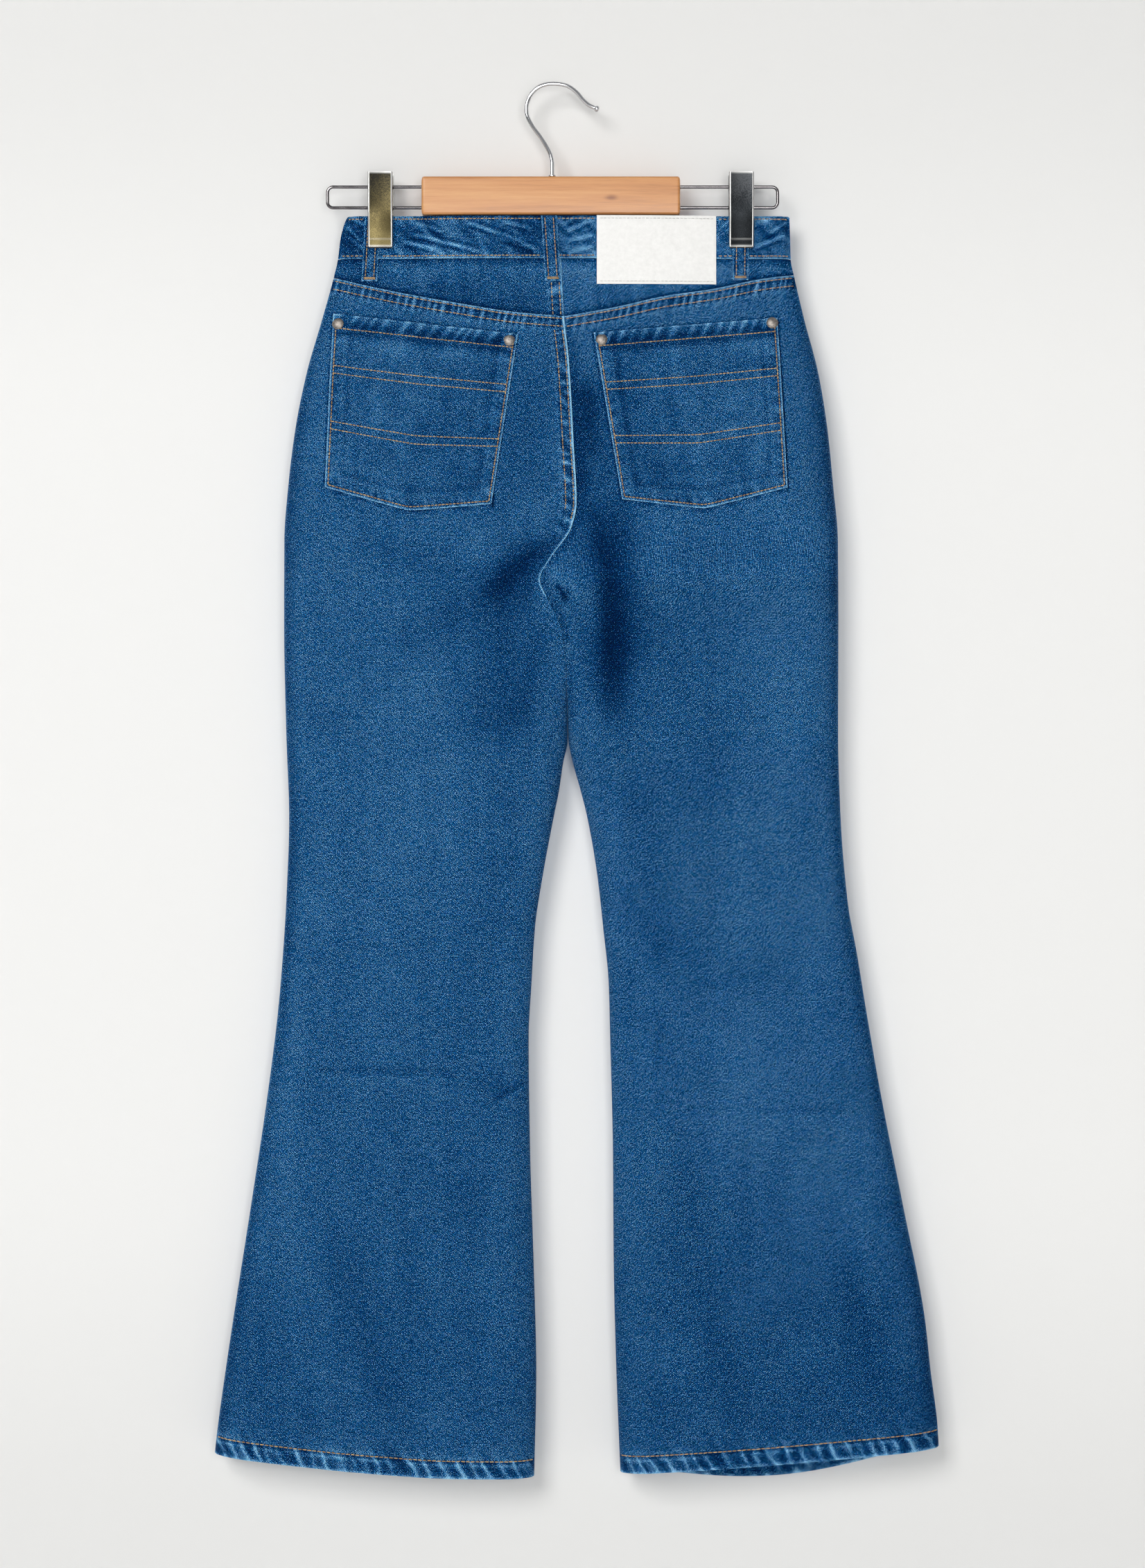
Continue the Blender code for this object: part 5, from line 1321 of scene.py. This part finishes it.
def alongPath(path, pitch):                     # places, ways and normals at even steps along a dense path
    points, normals = path
    length = np.concatenate([[0.0], np.cumsum(np.linalg.norm(np.diff(points, axis=0), axis=1))])
    count = max(int(length[-1] / pitch), 1)
    at = (np.arange(count) + 0.5) * length[-1] / count
    place, ahead, behind, normal = (
        np.stack([np.interp(where, length, values[:, k]) for k in range(3)], axis=-1)
        for where, values in ((at, points), (at + 0.5, points), (at - 0.5, points), (at, normals)))
    return place, unit(ahead - behind), unit(normal)


def sewRows(name, paths, seed, pitch=thread["pitch"], length=thread["length"], radius=thread["radius"],
            material=goldThread):
    # Every stitch of every path as one mesh: the template turned to each place and scaled.
    template, quads = stitchTemplate()
    parts = [alongPath(path, pitch) for path in paths]
    place, way, normal = (np.concatenate(kind) for kind in zip(*parts))
    random = np.random.RandomState(700 + seed)
    count = len(place)
    sideways = unit(np.cross(normal, way))
    way = unit(way + sideways * random.uniform(-0.07, 0.07, (count, 1)))
    sideways = unit(np.cross(normal, way))
    size = length * random.uniform(0.92, 1.05, (count, 1, 1))
    points = place[:, None, :] + way[:, None, :] * template[None, :, 0:1] * size
    points = points + sideways[:, None, :] * template[None, :, 1:2] * radius
    points = points + normal[:, None, :] * (template[None, :, 2:3] + 0.45) * radius
    number = np.arange(count)[:, None, None] * len(template) + quads[None]
    tone = np.repeat(random.uniform(0.15, 0.85, count), len(template))
    declare(buildMesh(name, points, number, [material], None, tone, None, 60.0))


def twinRows(first):                            # distances of a two-needle seam's rows
    return first, first + cloth["rowGauge"]


def panelPath(leg, face, x, z, lift=0.0):
    normal = panelNormal(leg, face, x, z, 0.6, True)
    return np.stack([x, panelSurface(leg, face, x, z), z], axis=-1) + normal * lift, normal


def facedPath(points, face):                    # a path on a nearly flat piece, its normals straight out
    normal = np.zeros(points.shape)
    normal[..., 1] = outward[face]
    return points, normal


def bandPath(face, x0, x1, down):
    x = np.linspace(x0, x1, 400)
    z = np.full(x.shape, cloth["waistTop"] - down)
    middle, share = waistShare(x, z)
    depth = bandDepth(share) + bandRelief(face, x, z)[0] * smoothStep(0.02, 0.08, share)
    if face == "front":
        depth = depth + lapDepth(x - middle) * (x < middle + waist["overlapEnd"])
    return facedPath(np.stack([x, outward[face] * depth, z], axis=-1), face)


def skipping(paths, gaps):                      # drop the stretches of a path that other pieces cover
    kept = []
    for points, normals in paths:
        hidden = np.zeros(len(points), bool)
        for low, high in gaps:
            hidden |= (points[:, 0] > low) & (points[:, 0] < high)
        edges = np.flatnonzero(np.diff(np.concatenate([[1], hidden.astype(int), [1]])))
        for start, end in zip(edges[::2], edges[1::2]):
            if end - start > 3:
                kept.append((points[start:end], normals[start:end]))
    return kept


def sewWaistband():
    gaps = {"back": [(-10.5, 2.6), (33.5, 132.0), (-153.0, -139.0), (144.5, 157.5)],
            "front": [(-95.0, -81.5), (97.5, 111.0)]}
    lower = waist["height"] - waist["seamStitch"]
    paths = []
    for face in ("back", "front"):
        rows = [bandPath(face, -166.0, 188.5, waist["topStitch"]), bandPath(face, -171.0, 189.5, lower)]
        paths += skipping(rows, gaps[face])
    sewRows("stitchesWaistband", paths, 1)


def sewBackSeams():
    paths = []
    for leg in ("left", "right"):
        for row in twinRows(2.2):
            share = np.linspace(0.012, 0.995, 260)
            z = readTable(yokeSeam, columnOf[leg], share) - row
            paths.append(panelPath(leg, "back", acrossLeg(leg, "back", z, share), z))
    for row in twinRows(2.4):
        z = np.linspace(-198.5, -352.0 + 8.0 * (row > 5.0), 220)
        paths.append(panelPath("left", "back", innerEdge("left", "back", z) - row, z))
        z = np.linspace(-159.5, -186.5, 40)
        x = innerEdge("left", "back", z) - row
        depth = halfDepth("left", "back", x, z) + yokeRelief("left", x, z)[0]
        paths.append(facedPath(np.stack([x, -depth, z], axis=-1), "back"))
    sewRows("stitchesBackSeams", paths, 2)


def sewHems():
    paths = []
    for leg in ("left", "right"):
        for face in ("back", "front"):
            share = np.linspace(0.006, 0.994, 300)
            z = hemAt(leg, face, share) + cloth["hemBand"]
            paths.append(panelPath(leg, face, acrossLeg(leg, face, z, share), z))
    sewRows("stitchesHems", paths, 3, pitch=3.9, length=3.5, radius=0.45)


def pocketPath(leg, across, down):
    height = cloth["pocketLying"] + cloth["denim"] + pocketRelief(leg, across, down)[0]
    points = pocketPoints(leg, across, down, height)
    return points, unit(pocketPoints(leg, across, down, height + 1.0) - points)


def sewPocket(leg):
    # Mouth row, the two side rows, the lowest row, then the twin rows across.
    inX = pocketShape["edgeStitch"] / pocketShape["width"]
    inZ = pocketShape["edgeStitch"] / pocketShape["height"]
    gauge = cloth["rowGauge"] / pocketShape["height"]
    mouth = pocketShape["mouthBand"] / pocketShape["height"]
    run = np.linspace(0.0, 1.0, 240)
    level = inX + (1.0 - 2.0 * inX) * run
    upright = 0.05 + (0.95 - inZ) * run
    paths = [pocketPath(leg, level, np.full(240, mouth))]
    paths += [pocketPath(leg, np.full(240, across), upright) for across in (inX, 1.0 - inX)]
    downs = [1.0 - inZ] + [start + row for start in pocketShape["rows"] for row in (0.0, gauge)]
    paths += [pocketPath(leg, level, np.full(240, down)) for down in downs]
    sewRows(f"stitchesPocket{leg.title()}", paths, 4 + len(leg), pitch=2.9, length=2.65, radius=0.42)


def sewLoops():
    rows = []
    tacks = []
    for loop in loops.values():
        for across in (-loopShape["rows"], loopShape["rows"]):
            down = np.linspace(0.03, 0.93, 120)
            share = np.full(down.shape, across / loopShape["width"])
            rows.append(facedPath(loopPoint(loop, share, down, cloth["loop"] - 0.12), loop[1]))
        for end in (0.945, 0.965):
            share = np.linspace(-0.36, 0.36, 40)
            tacks.append(facedPath(loopPoint(loop, share, np.full(40, end), cloth["loop"]), loop[1]))
    sewRows("stitchesLoops", rows, 12, pitch=2.9, length=2.6, radius=0.38)
    sewRows("stitchesBarTacks", tacks, 13, pitch=0.95, length=1.5, radius=0.42)


def sewLabel():
    paths = []
    for z in (label["top"] - label["topStitch"], label["bottom"] + label["lowStitch"]):
        x = np.linspace(label["left"] + 2.0, label["right"] - 2.0, 200)
        paths.append(facedPath(labelPoint(x, np.full(x.shape, z), cloth["label"] + 0.02), "back"))
    sewRows("stitchesLabel", paths, 14, pitch=3.0, length=2.5, radius=0.3, material=whiteThread)


def sewFront():
    paths = []
    for row in twinRows(2.6):
        down = np.linspace(0.01, 0.985, 260)
        across = np.clip(row / np.maximum(flyWidth(down), row + 0.1), 0.0, 0.97)
        paths.append(facedPath(flyPoint(across, down, cloth["lying"] + cloth["denim"] + 0.25), "front"))
        for leg in ("left", "right"):
            share = np.linspace(0.03, 0.415, 160)
            z = scoopHeight(share) - row * 1.15
            x = acrossLeg(leg, "front", z, np.minimum(share + 0.012, 0.44))
            paths.append(panelPath(leg, "front", x, z, 0.05))
    sewRows("stitchesFront", paths, 15)


sewWaistband()
sewBackSeams()
sewHems()
for legName in ("left", "right"):
    sewPocket(legName)
sewLoops()
sewLabel()
sewFront()
print("sewing ready")

rivets = {                                      # name: node, x, height
    "LeftOuter": ("left_outer", -173.4, -194.1), "LeftInner": ("left_inner", -35.8, -208.0),
    "RightInner": ("right_inner", 38.6, -207.5), "RightOuter": ("right_outer", 175.8, -193.5),
}
# Profiles of turned pieces: radius, height
rivetProfile = [(0.0, 1.95), (0.9, 1.92), (1.8, 1.80), (2.7, 1.56), (3.5, 1.20), (4.2, 0.74), (4.65, 0.35),
                (4.8, 0.1), (4.8, 0.0), (0.0, 0.0)]
buttonProfile = [(0.0, 2.2), (3.4, 2.2), (3.9, 2.0), (5.2, 2.0), (5.7, 2.35), (6.9, 2.6), (7.9, 2.35),
                 (8.5, 1.7), (8.4, 0.9), (7.0, 0.2), (6.8, 0.0), (0.0, 0.0)]


def turnedPiece(name, profile, place, axis, node, segments):
    # Profile turned round an axis; the poles are tiny rings so that every face is a quad.
    radius = np.array([max(p[0], 0.01) for p in profile])
    height = np.array([p[1] for p in profile])
    angle = 2.0 * math.pi * np.arange(segments) / segments
    axis = np.asarray(axis, float) / np.linalg.norm(axis)
    across = unit(np.cross(axis, [0.0, 0.0, 1.0]))
    spokes = np.cos(angle)[:, None] * across + np.sin(angle)[:, None] * np.cross(axis, across)
    points = np.asarray(place) + height[:, None, None] * axis + radius[:, None, None] * spokes[None]
    quads = tubeQuads(len(profile), segments, ringCap(segments)[:, ::-1])
    declare(buildMesh(name, points, quads, [agedMetal], sharpAngle=50.0), [node])


def makeRivets():
    lift = cloth["pocketLying"] + cloth["denim"] + 0.35
    for name, (node, x, z) in rivets.items():
        leg = "left" if x < 0.0 else "right"
        x, z = np.array([x]), np.array([z])
        axis = panelNormal(leg, "back", x, z, 0.5, False)[0]
        place = np.array([x[0], panelSurface(leg, "back", x, z, False)[0], z[0]]) + axis * lift
        turnedPiece(f"rivet{name}", rivetProfile, place, axis, f"rivet_{node}", 36)


def makeButton():
    middle = float(readTable(backInseams, 1, cloth["waistTop"]))
    depth = float(readTable(waistDepths, 1, 1.0)) + cloth["proud"] + cloth["waistband"] + 2.0 * cloth["lying"]
    place = (middle - 4.0, depth, (cloth["waistTop"] + cloth["waistSeam"]) / 2.0)
    turnedPiece("waistButton", buttonProfile, place, (0.0, 1.0, 0.0), "waist_button", 48)


makeRivets()
makeButton()
print("rivets and button ready")

hanger = {
    "barLeft": -106.8, "barRight": 102.1, "barTop": -74.0, "barBottom": -105.0, "barDepth": 14.0,
    "barRound": 2.4, "wireRadius": 1.3, "wireHeights": (-81.8, -98.6), "wireCorner": 4.5, "wireSeat": 14.0,
    "wireLeft": -184.2, "wireRight": 182.2, "hookRadius": 1.75, "hookSeat": 9.0,
}
hookPath = [                                    # x and height
    (-1.4, -76.0), (-1.4, -62.0), (-3.4, -54.0), (-9.8, -43.0), (-17.4, -32.5), (-21.6, -24.0),
    (-22.0, -16.0), (-18.8, -7.5), (-12.5, -1.2), (-4.5, 1.5), (4.5, 1.4), (12.0, -0.6), (18.6, -5.5),
    (23.6, -11.4), (28.4, -15.6), (32.6, -17.6),
]
# Distance along the hook, radius: the collar over the bar and the ball at the end
hookCollar = [(0.3, 1.75), (0.35, 3.0), (0.6, 3.15), (1.5, 3.15), (1.75, 3.0), (1.9, 1.75)]
hookBall = [(0.0, 1.6), (0.5, 2.0), (1.1, 2.5), (1.9, 2.7), (2.7, 2.55), (3.4, 1.95), (3.8, 1.2), (3.95, 0.4)]
clips = {"left": (-139.9, 6.3), "right": (151.3, 6.3)}      # middle, half gap at the back jaw's grip
clipShape = {
    "width": 20.0, "top": -71.0, "straight": -88.0, "bend": -104.0, "knee": -119.0, "bottom": -131.0,
    "sheet": 1.1, "flange": 4.0, "swell": 10.5, "frontGrip": 4.3, "coreLow": -102.8, "coreHigh": -77.5,
    "padHalf": 9.2, "padTop": 8.0,
}


def smoothPath(points, steps):                  # Catmull-Rom curve through the points
    points = np.asarray(points, float)
    ends = np.concatenate([points[:1], points, points[-1:]])
    t = (np.arange(steps) / steps)[None, :, None]
    a, b, c, d = (ends[k:len(ends) - 3 + k][:, None, :] for k in range(4))
    curve = 0.5 * (2.0 * b + (c - a) * t + (2.0 * a - 5.0 * b + 4.0 * c - d) * t ** 2
                   + (3.0 * b - a - 3.0 * c + d) * t ** 3)
    return np.concatenate([curve.reshape(-1, points.shape[1]), points[-1:]])


def wirePiece(name, path, radii, node, metal, sides=20):
    # A circle carried along a flat path in the XZ plane.
    path = np.asarray(path, float)
    points = np.stack([path[:, 0], np.zeros(len(path)), path[:, 1]], axis=-1)
    depthWay = np.array([0.0, 1.0, 0.0])
    other = unit(np.cross(unit(np.gradient(points, axis=0)), depthWay))
    angle = 2.0 * math.pi * np.arange(sides) / sides
    radii = np.broadcast_to(radii, len(path))
    ring = np.cos(angle)[None, :, None] * depthWay + np.sin(angle)[None, :, None] * other[:, None, :]
    grid = points[:, None, :] + radii[:, None, None] * ring
    quads = tubeQuads(len(path), sides, ringCap(sides))
    declare(buildMesh(name, grid, quads, [metal], sharpAngle=60.0), [node])


def makeHook():
    x, low = hookPath[0]
    curve = smoothPath(hookPath[1:], 10)
    ahead = unit(curve[-1] - curve[-2])
    stations = [(x, low - hanger["hookSeat"], hanger["hookRadius"])]
    stations += [(x, hanger["barTop"] + up, radius) for up, radius in hookCollar]
    stations += [(*place, hanger["hookRadius"]) for place in curve]
    stations += [(*(curve[-1] + ahead * (0.4 + along)), radius) for along, radius in hookBall]
    stations = np.array(stations)
    wirePiece("hangerHook", stations[:, :2], stations[:, 2], "hanger_hook", chrome)


def makeWire(side):
    way = -inward[side]
    end = hanger["wire" + side.title()] - way * hanger["wireRadius"]
    root = hanger["bar" + side.title()] - way * hanger["wireSeat"]
    top, bottom = hanger["wireHeights"]
    corner = hanger["wireCorner"]
    angle = np.radians(np.linspace(0.0, 90.0, 12))
    across = 1.0 - np.sin(angle)
    down = 1.0 - np.cos(angle)
    first = np.stack([end - way * corner * across, top - corner * down], axis=-1)
    second = np.stack([end - way * corner * down, bottom + corner * across], axis=-1)
    path = np.concatenate([[(root, top)], first, second, [(root, bottom)]])
    wirePiece(f"hangerWire{side.title()}", path, hanger["wireRadius"], f"hanger_wire_{side}", wireChromeDarkReflection)


def makeBar():
    # Rounded rectangle carried along X, drawn in over the last millimetres of each end.
    radius = hanger["barRound"]
    halfY = hanger["barDepth"] / 2.0
    halfZ = (hanger["barTop"] - hanger["barBottom"]) / 2.0
    angle = np.radians(np.linspace(0.0, 90.0, 7))
    corners = []
    for turn, (sy, sz) in enumerate(((1, 1), (-1, 1), (-1, -1), (1, -1))):
        swing = angle + math.pi / 2.0 * turn
        corners.append(np.stack([sy * (halfY - radius) + radius * np.cos(swing),
                                 sz * (halfZ - radius) + radius * np.sin(swing)], axis=-1))
    section = np.concatenate(corners)
    share = np.linspace(0.0, 1.0, 7)
    inset = radius * (1.0 - np.sqrt(1.0 - (1.0 - share) ** 2))
    straight = np.linspace(hanger["barLeft"] + 4.0, hanger["barRight"] - 4.0, 60)
    x = [hanger["barLeft"] + radius * share, straight, (hanger["barRight"] - radius * share)[::-1]]
    x = np.concatenate(x)
    drawn = np.concatenate([inset, np.zeros(60), inset[::-1]])[:, None]
    middle = (hanger["barTop"] + hanger["barBottom"]) / 2.0
    grid = np.stack([x[:, None] + 0.0 * section[None, :, 0], (halfY - drawn) / halfY * section[None, :, 0],
                     middle + (halfZ - drawn) / halfZ * section[None, :, 1]], axis=-1)
    quads = tubeQuads(len(x), len(section), ringCap(len(section)))[:, ::-1]
    declare(buildMesh("hangerBar", grid, quads, [wood], sharpAngle=35.0), ["hanger_bar"])


def clipSection(half, sheet, flange, radius, steps):
    # Channel section, flanges towards +y: outer corners rounded, from the left flange round to the right.
    angle = np.radians(np.linspace(0.0, 90.0, steps))
    outer = [(-half, flange)]
    outer += [(-half + radius * (1.0 - math.cos(a)), radius * (1.0 - math.sin(a))) for a in angle]
    outer += [(-half + 1.5, 0.0), (-half + 1.9, 0.12), (half - 1.9, 0.12), (half - 1.5, 0.0)]
    outer += [(half - radius * (1.0 - math.sin(a)), radius * (1.0 - math.cos(a))) for a in angle]
    outer += [(half, flange)]
    inner = [(half - sheet, flange), (half - sheet, sheet + 0.4), (half - sheet - 0.4, sheet)]
    inner += [(-half + sheet + 0.4, sheet), (-half + sheet, sheet + 0.4), (-half + sheet, flange)]
    return outer, inner


def makeJaw(name, x, path, node, way):
    # The channel section carried down a path of y and height; its flanges narrow towards the grip.
    half = clipShape["width"] / 2.0
    grids = []
    for y, z, flange in smoothPath(path, 12):
        outer, inner = clipSection(half, clipShape["sheet"], max(flange, 1.25), 1.0, 5)
        grids.append([(x + px, y + way * py, z) for px, py in outer + inner])
    grid = np.array(grids)
    rows, count = grid.shape[:2]
    outerSteps = len(outer) - 1
    at = np.arange(outerSteps + 1)
    opposite = count - 1 - np.round(at * (len(inner) - 1) / outerSteps).astype(int)
    cap = np.stack([at[:-1], at[1:], opposite[1:], opposite[:-1]], axis=-1)
    quads = tubeQuads(rows, count, cap)
    offset = np.abs(grid[..., 0] - x)
    height = grid[..., 2]
    fromBottom = height - clipShape["bottom"]
    # Painted highlights: pale along the plate's rims, at its top edge and bottom lip, and on the flange edges.
    rimHighlight = band(offset, half - 1.2, half - 0.15, 0.2) * (np.arange(count) <= outerSteps)
    ends = bump(clipShape["top"] - height, 0.7) + 0.6 * bump(fromBottom, 1.0)
    ends = ends + 0.15 * bump(fromBottom - 6.0, 0.5)
    wearAndShading = np.clip(rimHighlight + ends + 0.25 * (offset >= half - 0.15), 0.0, 1.0)
    quads = quads[:, ::-1] if way < 0 else quads
    declare(buildMesh(name, grid, quads, [clipPlate], None, wearAndShading, sharpAngle=40.0), [node])


def roundedBox(name, low, high, material, nodes, radius):
    low = np.array(low, float)
    high = np.array(high, float)
    corner = np.array([[i, j, k] for i in (0, 1) for j in (0, 1) for k in (0, 1)], float)
    quads = [(0, 1, 3, 2), (4, 6, 7, 5), (0, 4, 5, 1), (2, 3, 7, 6), (0, 2, 6, 4), (1, 5, 7, 3)]
    piece = buildMesh(name, low + (high - low) * corner, quads, [material], sharpAngle=30.0)
    soften = piece.modifiers.new("soften", "BEVEL")
    soften.width = radius * mm
    soften.segments = 3
    declare(piece, nodes)


def makeClip(side):
    x, grip = clips[side]
    sheet = clipShape["sheet"]
    flange = clipShape["flange"]
    title = side.title()
    for face, reach in (("back", grip), ("front", clipShape["frontGrip"])):
        way = -outward[face]
        swell = -way * clipShape["swell"]
        out = -way * (reach + sheet)
        path = [(swell, clipShape["top"], flange), (swell, clipShape["straight"], flange),
                (swell, clipShape["bend"], flange), (out - way * 0.8, clipShape["knee"], sheet + 0.3),
                (out, clipShape["bottom"], sheet + 0.3)]
        makeJaw(f"clipJaw{face.title()}{title}", x, path, f"clip_jaw_{face}_{side}", way)
        inner = out + way * (sheet + 0.05)
        near, far = sorted((inner, inner + way * 0.25))
        low = (x - clipShape["padHalf"], near, clipShape["bottom"] - 1.0)
        high = (x + clipShape["padHalf"], far, clipShape["bottom"] + clipShape["padTop"])
        roundedBox(f"clipPad{face.title()}{title}", low, high, rubber, (), 0.1)
    half = clipShape["width"] / 2.0 - sheet - seamGap
    depth = clipShape["swell"] - sheet - seamGap
    low = (x - half, -depth, clipShape["coreLow"])
    high = (x + half, depth, clipShape["coreHigh"])
    roundedBox(f"clipCore{title}", low, high, chrome, (f"clip_core_{side}",), 0.8)


makeHook()
makeBar()
for sideName in ("left", "right"):
    makeWire(sideName)
    makeClip(sideName)
print("hanger ready")
